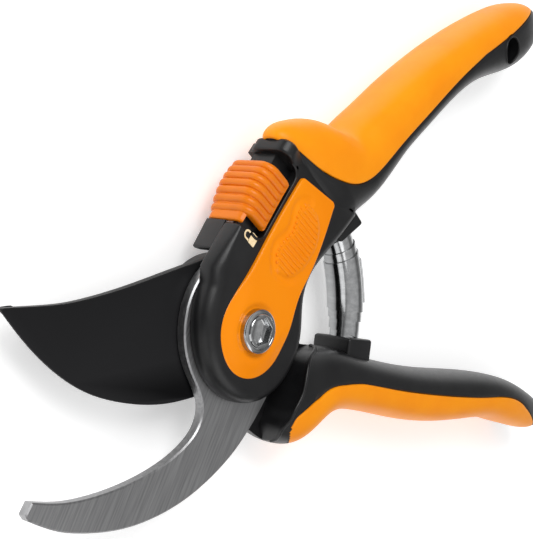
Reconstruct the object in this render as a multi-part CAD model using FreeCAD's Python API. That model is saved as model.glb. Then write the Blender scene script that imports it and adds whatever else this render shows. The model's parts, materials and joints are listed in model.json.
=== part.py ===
import FreeCAD, Part
import math
import os

# Bypass pruning shears, lying open on their back, in millimetres.
# The origin is on the pivot's axis, on the flat back face that the shears rest on.
# +Z points out of the front cover, +X runs back between the two handles.
# The upper half (handle, front housing, hook) stays still; the lower half
# (handle, cutting blade) turns about the pivot, anticlockwise to close.

Vector = FreeCAD.Vector

# ---- driving dimensions -------------------------------------------------

# layers along the pivot, from the back face up
back_cover_thickness = 2.0
neck_thickness = 5.3
blade_thickness = 3.1
blade_gap = 0.1
hook_thickness = 3.0
housing_thickness = 5.5
plate_thickness = 3.0
plate_proud = 1.0

# handles
handle_thickness = 21.0
grip_wall = 2.6
upper_handle_reach = 148.4
lower_handle_reach = 142.0
section_squareness = 2.6

# blade and hook
blade_reach = 70.4
hook_reach = 72.2
heel_radius = 19.5
heel_clearance = 2.0
edge_bevel_width = 4.5
edge_bevel_depth = 2.4

# pins that hold the two tangs in their handles
tang_pin_radius = 2.0
upper_pin_centres = [(22.5, 17.0), (42.0, 28.8)]
lower_pin_centres = [(24.0, -20.5), (44.0, -28.5)]
upper_pin_floor = 0.9
upper_pin_cover = 0.5
lower_pin_low = 3.0
lower_pin_cover = 1.4

# pivot
bolt_radius = 3.0
bolt_head_radius = 5.75
bolt_head_height = 2.8
bolt_seat_depth = 1.6
socket_flats = 6.0
socket_depth = 2.0
bolt_head_chamfer = 0.5
sleeve_radius = 4.0
sleeve_head_radius = 6.5
sleeve_head_height = 1.8
sleeve_floor_height = 3.0
bush_wall = 1.5
running_clearance = 0.05
loose_clearance = 0.5
washer_thickness = 0.8
washer_radius = 5.6
back_cover_radius = 16.0
back_cover_chamfer = 0.5
neck_disc_radius = 18.5
collar_radius = 25.5

# lock slider on the hood
slider_angle = 42.0
slider_start = 18.3
slider_length = 17.5
slider_travel = 4.0
slider_inner = 13.5
slider_wall = 3.2
slider_ledge = 2.5
slider_ribs = 7
rib_groove_width = 0.7
rib_groove_depth = 0.7
rib_groove_stop = 1.2
rail_top = 20.8
rail_low = 9.0
rail_high = 16.6
shoulder_gap = 0.5
shoulder_width = 3.0
shoulder_rise = 0.8
shoulder_inner = 2.0
shoulder_low = 8.0
shoulder_high = 20.6
slide_clearance = 0.3
tongue_height = 4.1
tongue_depth = 4.4
tongue_lead = 5.0
tongue_setback = 1.0
tongue_forward = 0.5
nose_step = 0.7
nose_width = 2.0
leaf_thickness = 0.5
leaf_length = 17.0
leaf_setback = 1.0
hood_low = 6.7
hood_top = 21.9

# return spring
spring_radius = 47.6
spring_low_angle = -17.0
spring_high_angle = 20.0
coil_radius = 5.2
coil_step = 0.62
spring_bore_radius = 3.0
cup_depth = 3.0
cup_clearance = 0.35
cup_end_gap = 0.3
seat_width = 13.0
seat_depth = 8.0

# hanging hole in the upper handle's end
hanging_hole_radius = 4.0
hanging_hole_centre = (123.4, 58.3)

# ---- sizes that follow --------------------------------------------------

blade_low = back_cover_thickness + neck_thickness
blade_high = blade_low + blade_thickness
hook_low = blade_high + blade_gap
hook_high = hook_low + hook_thickness
front_face = hook_high + housing_thickness
plate_high = front_face + plate_proud
plate_low = plate_high - plate_thickness
handle_middle = handle_thickness / 2
swing_radius = heel_radius + heel_clearance
bush_radius = sleeve_radius + running_clearance + bush_wall
washer_low = plate_high - bolt_seat_depth
head_low = washer_low + washer_thickness
inner_coil_radius = coil_radius - 2 * coil_step
hood_start = slider_start - slide_clearance
shoulder_start = slider_start + slider_length + slider_travel + shoulder_gap
shoulder_end = shoulder_start + shoulder_width
upper_pin_low = hood_low + upper_pin_floor
upper_pin_high = plate_low - upper_pin_cover
lower_pin_high = handle_thickness - grip_wall - lower_pin_cover
beyond = 140.0
up = Vector(0, 0, 1)


# ---- shape helpers ------------------------------------------------------

def direction(angle):
    """Unit vector in the plane of the shears."""
    turn = math.radians(angle)
    return Vector(math.cos(turn), math.sin(turn), 0)


def polar(radius, angle):
    """Point in the plane of the shears, from the pivot."""
    return direction(angle) * radius


def on_rail(along, across):
    """Point in the plane of the shears, measured along and across the slider's track."""
    return direction(slider_angle) * along + direction(slider_angle + 90) * across


def flat(points):
    """Plain pairs as points at height zero."""
    return [Vector(point[0], point[1], 0) for point in points]


def curve(points):
    """Smooth open curve through points."""
    spline = Part.BSplineCurve()
    spline.interpolate(points)
    return spline.toShape()


def straight(points):
    """Straight edges through points."""
    return [Part.makeLine(a, b) for a, b in zip(points[:-1], points[1:])]


def arc(radius, start, end):
    """Circular edge about the pivot, anticlockwise from start to end."""
    middle = (start + end) / 2
    return Part.Arc(polar(radius, start), polar(radius, middle), polar(radius, end)).toShape()


def extrude(edges, low, high):
    """Solid between two heights from a closed loop of edges."""
    wire = Part.Wire(Part.__sortEdges__(edges))
    face = Part.Face(wire)
    solid = face.extrude(up * (high - low))
    solid.translate(up * low)
    return solid


def polygon(points, low, high):
    """Straight-sided solid between two heights."""
    return extrude(straight(points + points[:1]), low, high)


def cylinder(radius, low, high, centre=(0.0, 0.0)):
    """Upright round solid, with the seam of its wall turned towards -X."""
    solid = Part.makeCylinder(radius, high - low)
    solid.rotate(Vector(0, 0, 0), up, 180)
    solid.translate(Vector(centre[0], centre[1], low))
    return solid


def track_block(along_low, along_high, across_low, across_high, low, high):
    """Block lined up with the slider's track."""
    corners = [
        on_rail(along_low, across_low),
        on_rail(along_high, across_low),
        on_rail(along_high, across_high),
        on_rail(along_low, across_high),
    ]
    return polygon(corners, low, high)


def signed_power(value, power):
    """Power of a size that keeps its sign."""
    return math.copysign(abs(value) ** power, value)


def section(x, y, angle, half_width, half_height, lift):
    """Rounded handle section across the direction given by angle, lifted from the middle."""
    count = 24
    squareness = section_squareness
    across = direction(angle + 90)
    points = []
    for step in range(count):
        turn = 2 * math.pi * step / count
        wide = half_width * signed_power(math.cos(turn), 2 / squareness)
        high = half_height * signed_power(math.sin(turn), 2 / squareness)
        points.append(Vector(x, y, handle_middle + lift) + across * wide + up * high)
    spline = Part.BSplineCurve()
    spline.interpolate(points, PeriodicFlag=True)
    return Part.Wire([spline.toShape()])


def handle_loft(stations, inset=0.0):
    """Smooth body through stations, each moved in by an inset."""
    wires = []
    for x, y, angle, half_width, share, rise in stations:
        half_height = handle_thickness / 2 * share - inset
        lift = handle_thickness / 2 * rise
        wires.append(section(x, y, angle, half_width - inset, half_height, lift))
    return Part.makeLoft(wires, True, False)


def stretch(rows, stations, reach):
    """Rows moved out along X by what brings the last of the handle's stations to its reach."""
    root = stations[0][0]
    ratio = (reach - root) / (stations[-1][0] - root)
    return [(root + (row[0] - root) * ratio,) + tuple(row[1:]) for row in rows]


def stretch_points(points, limit, farthest, reach):
    """Outline points left of limit moved out so that the farthest reaches -reach."""
    ratio = (reach + limit) / (limit - farthest)
    moved = []
    for x, y in points:
        if x < limit:
            x = limit + (x - limit) * ratio
        moved.append((x, y))
    return moved


# ---- handle shapes ------------------------------------------------------

# rows of x, y, angle and half width, then shares of the half thickness: the section's own
# half height, and how far its middle is lifted towards the front
upper_stations = [
    (27.1, 31.1, 42, 19.4, 0.61, 0.37),
    (31.8, 34.7, 42, 19.4, 0.67, 0.33),
    (37.7, 35.8, 39, 17.9, 0.77, 0.23),
    (45.1, 35.5, 34, 14.9, 0.88, 0.12),
    (51.0, 34.3, 31, 11.0, 0.95, 0.05),
    (56.5, 36.5, 30, 10.1, 1.0, 0.0),
    (64.9, 41.2, 29, 9.2, 1.0, 0.0),
    (76.6, 46.8, 27, 8.7, 1.0, 0.0),
    (90.1, 52.7, 24, 8.0, 1.0, 0.0),
    (103.9, 57.3, 20, 7.9, 1.0, 0.0),
    (118.0, 60.0, 14, 9.0, 0.98, 0.0),
    (129.0, 61.8, 10, 9.5, 0.92, 0.0),
    (138.4, 63.7, 6, 8.3, 0.78, 0.0),
    (144.9, 64.5, 3, 5.4, 0.52, 0.0),
    (148.4, 64.8, 3, 3.2, 0.34, 0.0),
]

lower_stations = [
    (10.0, -17.5, -24, 13.0, 1.0, 0.0),
    (23.2, -23.8, -24, 13.0, 1.0, 0.0),
    (30.6, -23.2, -24, 10.2, 1.0, 0.0),
    (38.6, -24.5, -25, 8.3, 1.0, 0.0),
    (46.4, -27.5, -25, 7.7, 1.0, 0.0),
    (56.2, -31.6, -24, 7.6, 1.0, 0.0),
    (66.1, -35.7, -22, 7.8, 1.0, 0.0),
    (79.8, -40.5, -20, 7.9, 1.0, 0.0),
    (96.0, -45.0, -18, 7.5, 1.0, 0.0),
    (110.0, -49.2, -21, 7.0, 0.98, 0.0),
    (120.1, -53.8, -26, 6.9, 0.90, 0.0),
    (129.9, -59.1, -32, 6.2, 0.74, 0.0),
    (137.6, -63.6, -34, 4.8, 0.52, 0.0),
    (142.0, -66.4, -34, 3.0, 0.34, 0.0),
]

# edge of the soft orange part on the front, from the pivot end to the handle's tip
upper_boundary = [
    (26.0, 38.9), (30.3, 35.1), (37.0, 31.5), (42.5, 30.1), (48.2, 30.1), (53.4, 31.9),
    (64.2, 37.6), (77.4, 44.2), (95.1, 52.9), (109.3, 58.5), (128.6, 64.6), (140.0, 69.4),
]
lower_boundary = [
    (4.0, -31.5), (13.3, -28.9), (21.4, -25.8), (27.9, -23.9), (32.8, -23.4), (39.3, -24.7),
    (45.8, -27.1), (58.6, -32.0), (72.0, -36.9), (101.3, -46.1), (116.1, -50.7),
    (122.6, -54.1), (130.0, -60.2),
]


def upper_handle_body(inset=0.0):
    """Whole upper handle from the hood's shoulder to its tip."""
    return handle_loft(stretch(upper_stations, upper_stations, upper_handle_reach), inset)


def lower_handle_body(inset=0.0):
    """Whole lower handle from behind the blade to its tip."""
    return handle_loft(stretch(lower_stations, lower_stations, lower_handle_reach), inset)


def upper_grip_zone():
    """Space above the upper grip's edge."""
    tip_run = 40.0
    tip_rise = 16.0
    start = on_rail(shoulder_end, 14.0)
    far = on_rail(shoulder_end, 50.0)
    edge = flat(stretch(upper_boundary, upper_stations, upper_handle_reach))
    right = edge[-1] + Vector(tip_run, tip_rise, 0)
    top = Vector(right.x, beyond, 0)
    left = Vector(far.x, beyond, 0)
    edges = [curve([start] + edge)] + straight([edge[-1], right, top, left, far, start])
    return extrude(edges, -1.0, handle_thickness + 1.0)


def lower_grip_zone():
    """Space below the lower grip's edge."""
    tip_run = 40.0
    tip_drop = 34.0
    start_run = 24.0
    start_drop = 6.0
    edge = flat(stretch(lower_boundary, lower_stations, lower_handle_reach))
    right = edge[-1] + Vector(tip_run, -tip_drop, 0)
    bottom = Vector(right.x, -beyond, 0)
    corner = edge[0] - Vector(start_run, start_drop, 0)
    left = Vector(corner.x, -beyond, 0)
    edges = [curve(edge)] + straight([edge[-1], right, bottom, left, corner, edge[0]])
    return extrude(edges, -1.0, handle_thickness + 1.0)


# ---- blade and hook -----------------------------------------------------

# outlines in the plane of the shears, from the blade's tip along its cutting edge, and from
# its heel along its spine back to the tip
blade_edge = [
    (-70.4, 21.3), (-64.4, 12.0), (-56.9, 3.0), (-47.5, -4.7), (-38.5, -9.3),
    (-30.1, -12.3), (-22.5, -14.0),
]
blade_spine = [
    (-18.5, 18.4), (-31.0, 17.7), (-43.5, 17.6), (-52.1, 18.1), (-60.3, 19.4), (-70.4, 21.3),
]
blade_tang = [(14.0, -25.0), (36.0, -29.0), (52.0, -35.0), (55.0, -29.5)]

# where the heel's circle meets the edge, the two sides of the tang and the spine, in degrees
heel_edge_angle = 230.0
tang_low_angle = 282.0
tang_high_angle = 331.0
heel_spine_angle = 102.0

# hook outlines: its inner edge from the hood to the tip, the blunt tip, the outer edge back
# to the pivot, and the tang inside the hood
hook_inner = [
    (-5.7, 19.3), (-10.6, 16.6), (-15.0, 12.4), (-18.0, 6.4), (-18.9, -0.5), (-17.6, -6.9),
    (-15.5, -12.4), (-14.8, -17.2), (-16.6, -21.2), (-21.8, -24.8), (-31.6, -27.5),
    (-42.0, -28.3), (-53.0, -27.7), (-61.8, -26.0), (-70.0, -23.0),
]
hook_tip = [(-70.0, -23.0), (-72.2, -25.4), (-71.4, -27.0)]
hook_outer = [
    (-71.4, -27.0), (-64.1, -32.0), (-56.0, -35.5), (-45.0, -38.5), (-33.1, -39.4),
    (-21.7, -38.1), (-12.4, -35.3), (-4.1, -31.4), (3.1, -26.3), (8.8, -21.2), (13.6, -14.8),
    (16.8, -7.0),
]
hook_tang = [
    (16.8, -7.0), (18.2, 1.0), (25.5, 13.0), (34.5, 22.8), (46.0, 27.2), (53.0, 30.0),
    (50.0, 35.0), (28.0, 26.5), (6.0, 22.2), (-5.7, 19.3),
]


def blade_points(points):
    """Blade outline points, moved out to the blade's reach."""
    return flat(stretch_points(points, -heel_radius, blade_edge[0][0], blade_reach))


def tang_corners():
    """Corners of the blade's tang, from the heel's circle out and back to it."""
    start = polar(heel_radius, tang_low_angle)
    return [start] + flat(blade_tang) + [polar(heel_radius, tang_high_angle)]


def cutting_blade():
    """Curved blade with a round heel about the pivot and a tang into the lower handle."""
    edge = blade_points(blade_edge) + [polar(heel_radius, heel_edge_angle)]
    spine = [polar(heel_radius, heel_spine_angle)] + blade_points(blade_spine)
    edges = [curve(edge), arc(heel_radius, heel_edge_angle, tang_low_angle)]
    edges += straight(tang_corners())
    edges += [arc(heel_radius, tang_high_angle, 360 + heel_spine_angle), curve(spine)]
    blade = extrude(edges, blade_low, blade_high)
    blade = blade.cut(cylinder(bush_radius, blade_low - 1, blade_high + 1))
    for centre in lower_pin_centres:
        blade = blade.cut(cylinder(tang_pin_radius, blade_low - 1, blade_high + 1, centre))
    return bevelled(blade, edge)


def bevelled(blade, edge):
    """Blade with its back ground away along the cutting edge."""
    wanted = curve(edge)
    chosen = []
    for candidate in blade.Edges:
        middle = candidate.valueAt((candidate.FirstParameter + candidate.LastParameter) / 2)
        level = abs(middle.z - blade_low) < 0.01
        near = wanted.distToShape(Part.Vertex(Vector(middle.x, middle.y, 0)))[0] < 0.05
        if level and near:
            chosen.append(candidate)
    return blade.makeChamfer(edge_bevel_depth, edge_bevel_width, chosen)


def hook_points(points):
    """Hook outline points, moved out to the hook's reach."""
    return flat(stretch_points(points, -heel_radius, hook_tip[1][0], hook_reach))


def hook_blank():
    """Hook without its holes, which is also the space that it takes in the hood."""
    edges = [curve(hook_points(hook_inner))] + straight(hook_points(hook_tip))
    edges += [curve(hook_points(hook_outer))] + straight(flat(hook_tang))
    return extrude(edges, hook_low, hook_high)


def hook_blade():
    """Fixed curved hook that the blade cuts past, with a tang into the upper handle."""
    hook = hook_blank()
    hook = hook.cut(cylinder(sleeve_radius, hook_low - 1, hook_high + 1))
    for centre in upper_pin_centres:
        hook = hook.cut(cylinder(tang_pin_radius, hook_low - 1, hook_high + 1, centre))
    return hook


def pins(centres, low, high):
    """Identical pins that hold a tang in its handle."""
    return Part.makeCompound([cylinder(tang_pin_radius, low, high, c) for c in centres])


def upper_pins():
    """Pins through the hook's tang."""
    return pins(upper_pin_centres, upper_pin_low, upper_pin_high)


def lower_pins():
    """Pins through the blade's tang."""
    return pins(lower_pin_centres, lower_pin_low, lower_pin_high)


# ---- front cover plate --------------------------------------------------

# plate outline: its long rim round the bolt, and its far end
plate_rim = [
    (33.5, 24.8), (21.6, 9.0), (18.0, 5.4), (13.0, -2.9), (9.4, -8.0), (4.8, -11.3),
    (-0.4, -12.4), (-5.4, -11.3), (-9.7, -7.9), (-12.0, -2.4), (-12.0, 2.6), (-9.0, 8.2),
    (-3.8, 12.4), (8.5, 23.6), (19.9, 33.6),
]
plate_end = [
    (19.9, 33.6), (21.6, 34.6), (23.4, 34.2), (33.0, 27.0), (33.8, 25.9), (33.5, 24.8),
]


def plate_space(high):
    """Space over the plate's outline, from the plate's underside up to a height."""
    return extrude([curve(flat(plate_rim))] + straight(flat(plate_end)), plate_low, high)


def cover_plate():
    """Glossy plate over the pivot, with a round seat for the bolt."""
    plate = plate_space(plate_high)
    dish = cylinder(bolt_head_radius + running_clearance, washer_low, plate_high + 1)
    return plate.cut(dish).cut(cylinder(sleeve_radius, plate_low - 1, plate_high + 1))


# ---- lock slider --------------------------------------------------------

def slider_rail_envelope(grow):
    """Block of hood that the slider hugs, grown by a clearance."""
    return track_block(-beyond, beyond, -beyond, rail_top + grow, rail_low - grow, rail_high + grow)


def slider_recess():
    """Hollow round the rail for the slider's legs and its travel."""
    start = slider_start - slide_clearance
    inner = slider_inner - slide_clearance
    space = track_block(start, shoulder_start, inner, beyond, -beyond, beyond)
    return space.cut(slider_rail_envelope(0))


def slider_shell():
    """Ribbed thumb slider, a saddle over the hood's outer edge."""
    end = slider_start + slider_length
    low = rail_low - slide_clearance - slider_wall
    high = rail_high + slide_clearance + slider_wall
    outer = rail_top + slide_clearance + slider_wall
    shell = track_block(slider_start, end, slider_inner, outer, low, high)
    along = direction(slider_angle)
    corners = []
    for edge in shell.Edges:
        tangent = edge.tangentAt(edge.FirstParameter)
        middle = edge.CenterOfMass
        across = middle.dot(direction(slider_angle + 90))
        if abs(tangent.dot(along)) > 0.99 and across > outer - 0.01:
            corners.append(edge)
    corner_radius = slider_wall * 1.3
    shell = shell.makeFillet(corner_radius, corners)
    shell = shell.cut(slider_rail_envelope(slide_clearance))
    first = slider_start + slider_ledge
    pitch = (slider_length - slider_ledge) / slider_ribs
    for step in range(slider_ribs):
        shell = shell.cut(slider_groove(first + step * pitch, low, high, outer))
    return shell


def slider_groove(along, low, high, outer):
    """Shallow groove between two ribs, round all three sides."""
    half = rib_groove_width / 2
    depth = rib_groove_depth
    inner = slider_inner + rib_groove_stop
    ring = track_block(along - half, along + half, inner, outer + 1, low - 1, high + 1)
    keep = track_block(along - 1, along + 1, -beyond, outer - depth, low + depth, high - depth)
    return ring.cut(keep)


def lock_tongue():
    """Steel tongue that the slider carries in the hood's groove."""
    middle = (rail_low + rail_high) / 2 + tongue_forward
    low = middle - tongue_height / 2
    high = low + tongue_height
    outer = rail_top + slide_clearance
    inner = outer - tongue_depth
    start = slider_start - tongue_setback
    tip = slider_start - tongue_lead
    nose_inner = inner + nose_step
    nose_outer = nose_inner + nose_width
    bar = track_block(start, start + slider_length, inner, outer, low, high)
    nose = track_block(tip, start, nose_inner, nose_outer, low + nose_step, high - nose_step)
    return bar.fuse(nose).removeSplitter()


def tongue_groove():
    """Groove in the hood for the tongue, with the leaf under it."""
    box = lock_tongue().BoundBox
    low = box.ZMin - slide_clearance
    high = box.ZMax + slide_clearance
    floor = rail_top - tongue_depth - leaf_thickness
    start = slider_start - tongue_lead - tongue_setback
    return track_block(start, shoulder_start - tongue_setback, floor, beyond, low, high)


def detent_leaf():
    """Flat spring leaf under the tongue that holds the slider at its ends."""
    box = lock_tongue().BoundBox
    floor = rail_top - tongue_depth - leaf_thickness
    start = slider_start + leaf_setback
    return track_block(start, start + leaf_length, floor, floor + leaf_thickness, box.ZMin, box.ZMax)


# ---- spring and its seats -----------------------------------------------

def ring_segment(tube_radius, start, end):
    """Bent round bar about the pivot."""
    centre = polar(spring_radius, start) + up * handle_middle
    circle = Part.makeCircle(tube_radius, centre, direction(start + 90))
    face = Part.Face(Part.Wire([circle]))
    return face.revolve(Vector(0, 0, 0), up, end - start)


def volute_spring():
    """Double volute spring as nested round sleeves, widest in the middle."""
    reach = math.degrees((cup_depth - cup_end_gap) / spring_radius)
    low = spring_low_angle - reach
    high = spring_high_angle + reach
    middle = (low + high) / 2
    half = (high - low) / 2
    wide = 0.55 * half
    widest = 0.3 * half
    body = ring_segment(inner_coil_radius, low, high)
    body = body.fuse(ring_segment(coil_radius - coil_step, middle - wide, middle + wide))
    body = body.fuse(ring_segment(coil_radius, middle - widest, middle + widest))
    return body.cut(ring_segment(spring_bore_radius, low - 1, high + 1)).removeSplitter()


def seat_block(angle, side):
    """Block behind one end of the spring; side is +1 where it backs away upwards."""
    inner = spring_radius - coil_radius
    outer = spring_radius + coil_radius
    along = direction(angle)
    back = direction(angle + 90) * (side * seat_depth)
    corners = [along * inner, along * outer, along * outer + back, along * inner + back]
    low = handle_middle - seat_width / 2
    return polygon(corners, low, low + seat_width)


def spring_seat(angle, side):
    """Seat block with a round cup for the spring's end."""
    ahead = direction(angle + 90) * side
    start = polar(spring_radius, angle) + up * handle_middle - ahead
    cup = Part.makeCylinder(inner_coil_radius + cup_clearance, cup_depth + 1, start, ahead)
    return seat_block(angle, side).cut(cup)


# ---- housings and handle cores ------------------------------------------

def front_housing():
    """Black cover in front of the hook, round at the pivot and straight along the hood."""
    rim = [
        (-12.3, 15.2), (-15.9, 8.6), (-17.0, 0.4), (-14.9, -8.2), (-10.2, -14.5), (-3.2, -18.8),
        (3.5, -19.7), (10.0, -17.9), (15.4, -13.8), (19.2, -8.4), (20.9, -2.2), (22.3, 3.8),
        (25.6, 8.5), (31.2, 12.2), (38.0, 15.7), (45.0, 20.2),
    ]
    top = flat([rim[-1], (44.0, 36.0)])
    top += [on_rail(shoulder_end, hood_top), on_rail(hood_start, hood_top)]
    top += flat([rim[0]])
    return extrude([curve(flat(rim))] + straight(top), hook_high, front_face)


def hood_block():
    """Full-depth part of the hood and handle root, behind the front housing."""
    corners = flat([(-7.4, 22.1)])
    corners += [on_rail(hood_start, hood_top), on_rail(shoulder_end, hood_top)]
    corners += flat([(44.0, 36.0), (45.0, 22.0), (38.0, 15.7), (31.5, 12.6), (20.0, 11.0)])
    block = polygon(corners, hood_low, hook_high)
    return block.cut(cylinder(swing_radius, 0, hook_high + 1))


def shoulder():
    """Black rim above the slider's hollow, under the thumb guard."""
    outer = hood_top + shoulder_rise
    return track_block(shoulder_start, shoulder_end, shoulder_inner, outer, shoulder_low, shoulder_high)


def upper_handle_core():
    """Black frame of the upper half: front housing, hood, handle spine and underside."""
    handle = upper_handle_body()
    spine = upper_handle_body(grip_wall)
    below = handle.cut(upper_grip_zone())
    core = front_housing().fuse([hood_block(), shoulder(), below, spine])
    core = core.cut(cylinder(swing_radius, -1, hook_high))
    core = core.cut(slider_recess()).cut(tongue_groove())
    core = core.cut(hook_blank())
    core = core.cut(plate_space(beyond))
    core = core.cut(cylinder(sleeve_radius, 0, beyond))
    core = core.cut(seat_block(spring_high_angle, 1))
    core = core.cut(upper_pins())
    return core.cut(hanging_hole())


def upper_grip():
    """Soft orange back of the upper handle with its thumb guard."""
    grip = upper_handle_body().common(upper_grip_zone())
    grip = grip.cut(upper_handle_body(grip_wall)).cut(shoulder())
    grip = grip.cut(front_housing()).cut(hood_block())
    return grip.cut(slider_recess()).cut(hanging_hole()).cut(plate_space(beyond))


def hanging_hole():
    """Round hole through the upper handle's end."""
    return cylinder(hanging_hole_radius, -beyond, beyond, hanging_hole_centre)


def lower_neck():
    """Round plate behind the blade's heel."""
    return cylinder(neck_disc_radius, back_cover_thickness, blade_low)


def above_neck():
    """Space in front of the blade that the lower half leaves to the front housing."""
    return cylinder(collar_radius, blade_high, beyond)


def lower_handle_core():
    """Black frame of the lower half: neck behind the blade, collar and handle spine."""
    handle = lower_handle_body()
    spine = lower_handle_body(grip_wall)
    core = handle.cut(lower_grip_zone()).fuse([spine, lower_neck()])
    core = core.cut(above_neck())
    core = core.cut(cutting_blade_blank())
    core = core.cut(cylinder(back_cover_radius, -1, back_cover_thickness))
    core = core.cut(cylinder(sleeve_radius + loose_clearance, -1, blade_low + 1))
    core = core.cut(seat_block(spring_low_angle, -1))
    core = core.cut(lower_pins())
    return core.removeSplitter()


def cutting_blade_blank():
    """Space that the blade fills, without its holes and bevel."""
    disc = cylinder(heel_radius, blade_low, blade_high)
    return disc.fuse(polygon(tang_corners() + [Vector(0, 0, 0)], blade_low, blade_high))


def lower_grip():
    """Soft orange belly of the lower handle."""
    grip = lower_handle_body().common(lower_grip_zone())
    grip = grip.cut(lower_handle_body(grip_wall)).cut(above_neck()).cut(cutting_blade_blank())
    return grip.cut(lower_neck()).cut(lower_pins())


# ---- pivot hardware -----------------------------------------------------

def pivot_bolt():
    """Chromed bolt with a stepped head and a hexagon socket."""
    top = head_low + bolt_head_height
    head = cylinder(bolt_head_radius, head_low, top)
    circle = [edge for edge in head.Edges if abs(edge.BoundBox.ZMin - top) < 0.01]
    head = head.makeChamfer(bolt_head_chamfer, circle)
    shank = cylinder(bolt_radius, sleeve_floor_height, head_low)
    corner = socket_flats / math.sqrt(3)
    hexagon = [polar(corner, 60 * step) for step in range(6)]
    socket = polygon(hexagon, top - socket_depth, top + 1)
    return head.fuse(shank).cut(socket).removeSplitter()


def pivot_washer():
    """Washer between the bolt's head and the cover plate."""
    ring = cylinder(washer_radius, washer_low, head_low)
    return ring.cut(cylinder(bolt_radius, 0, beyond))


def pivot_sleeve():
    """Closed sleeve nut: the shaft that everything turns on, flush with the back."""
    head = cylinder(sleeve_head_radius, 0, sleeve_head_height)
    sleeve = cylinder(sleeve_radius, sleeve_head_height, washer_low)
    bore = cylinder(bolt_radius, sleeve_floor_height, beyond)
    return head.fuse(sleeve).cut(bore).removeSplitter()


def pivot_bush():
    """Bearing bush pressed into the blade."""
    bush = cylinder(bush_radius, blade_low, blade_high)
    return bush.cut(cylinder(sleeve_radius + running_clearance, 0, beyond))


def back_cover():
    """Flat round cover on the back, with a recess for the sleeve nut's head."""
    cover = cylinder(back_cover_radius, 0, back_cover_thickness)
    rim = [edge for edge in cover.Edges if abs(edge.BoundBox.ZMax) < 0.01]
    cover = cover.makeChamfer(back_cover_chamfer, rim)
    recess = cylinder(sleeve_head_radius + slide_clearance, -1, sleeve_head_height + running_clearance)
    return cover.cut(recess).cut(cylinder(sleeve_radius + loose_clearance, -1, beyond))


# ---- write every node ---------------------------------------------------

def write(name, shape):
    """Report a node's solids and write its STEP file."""
    solids = shape.Solids
    box = shape.BoundBox
    volume = sum(solid.Volume for solid in solids)
    print(f"{name:20s} solids {len(solids)} valid {shape.isValid()} volume {volume:9.1f} "
          f"x {box.XMin:7.1f} {box.XMax:7.1f} y {box.YMin:7.1f} {box.YMax:7.1f} "
          f"z {box.ZMin:6.2f} {box.ZMax:6.2f}")
    shape = solids[0] if len(solids) == 1 else Part.makeCompound(solids)
    shape.exportStep(f"parts/{name}.step")


def main():
    os.makedirs("parts", exist_ok=True)
    write("upper_handle_core", upper_handle_core())
    write("upper_grip", upper_grip())
    write("cover_plate", cover_plate())
    write("hook_blade", hook_blade())
    write("hook_pins", upper_pins())
    write("upper_spring_seat", spring_seat(spring_high_angle, 1))
    write("pivot_bolt", pivot_bolt())
    write("pivot_washer", pivot_washer())
    write("pivot_sleeve_nut", pivot_sleeve())
    write("detent_leaf", detent_leaf())
    write("lock_slider", slider_shell())
    write("lock_tongue", lock_tongue())
    write("volute_spring", volute_spring())
    write("lower_handle_core", lower_handle_core())
    write("lower_grip", lower_grip())
    write("cutting_blade", cutting_blade())
    write("blade_pins", lower_pins())
    write("lower_spring_seat", spring_seat(spring_low_angle, -1))
    write("pivot_bush", pivot_bush())
    write("back_cover", back_cover())


main()
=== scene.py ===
import json
import math

import bmesh
import bpy
import numpy as np
from mathutils import Matrix, Vector
from mathutils.geometry import delaunay_2d_cdt


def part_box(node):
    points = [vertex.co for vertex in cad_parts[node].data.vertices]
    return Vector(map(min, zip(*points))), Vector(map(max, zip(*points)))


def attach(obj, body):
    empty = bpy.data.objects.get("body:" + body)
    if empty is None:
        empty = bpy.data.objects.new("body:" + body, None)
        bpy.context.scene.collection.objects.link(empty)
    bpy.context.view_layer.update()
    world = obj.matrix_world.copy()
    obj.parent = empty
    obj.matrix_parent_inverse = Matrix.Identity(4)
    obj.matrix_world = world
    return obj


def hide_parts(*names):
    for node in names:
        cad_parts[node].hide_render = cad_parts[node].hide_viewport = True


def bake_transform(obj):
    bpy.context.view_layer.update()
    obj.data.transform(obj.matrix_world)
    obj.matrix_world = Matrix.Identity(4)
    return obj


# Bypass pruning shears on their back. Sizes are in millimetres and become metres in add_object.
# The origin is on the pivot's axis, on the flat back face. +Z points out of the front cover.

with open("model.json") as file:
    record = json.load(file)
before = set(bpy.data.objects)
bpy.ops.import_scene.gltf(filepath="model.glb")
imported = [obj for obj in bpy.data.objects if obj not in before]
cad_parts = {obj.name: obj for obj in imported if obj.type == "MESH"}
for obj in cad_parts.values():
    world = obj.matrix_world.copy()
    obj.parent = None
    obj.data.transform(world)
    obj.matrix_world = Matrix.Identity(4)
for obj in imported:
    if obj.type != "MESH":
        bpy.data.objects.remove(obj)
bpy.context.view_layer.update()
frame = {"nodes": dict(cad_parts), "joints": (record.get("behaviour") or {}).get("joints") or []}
MM = 0.001


def heights(node):
    """Lowest and highest level of a CAD node."""
    low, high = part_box(node)
    return low.z / MM, high.z / MM


joints = {joint["name"]: joint for joint in frame["joints"]}
track_axis = joints["lock_slide"]["axis"]
track_angle = math.degrees(math.atan2(track_axis[1], track_axis[0]))

plate_low, plate_high = heights("cover_plate")
blade_low, blade_high = heights("cutting_blade")
hook_low, hook_high = heights("hook_blade")
bolt_high = heights("pivot_bolt")[1]
washer_high = heights("pivot_washer")[1]
handle_thickness = heights("lower_grip")[1]
handle_middle = handle_thickness / 2
front_face = plate_high - 1.0

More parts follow.
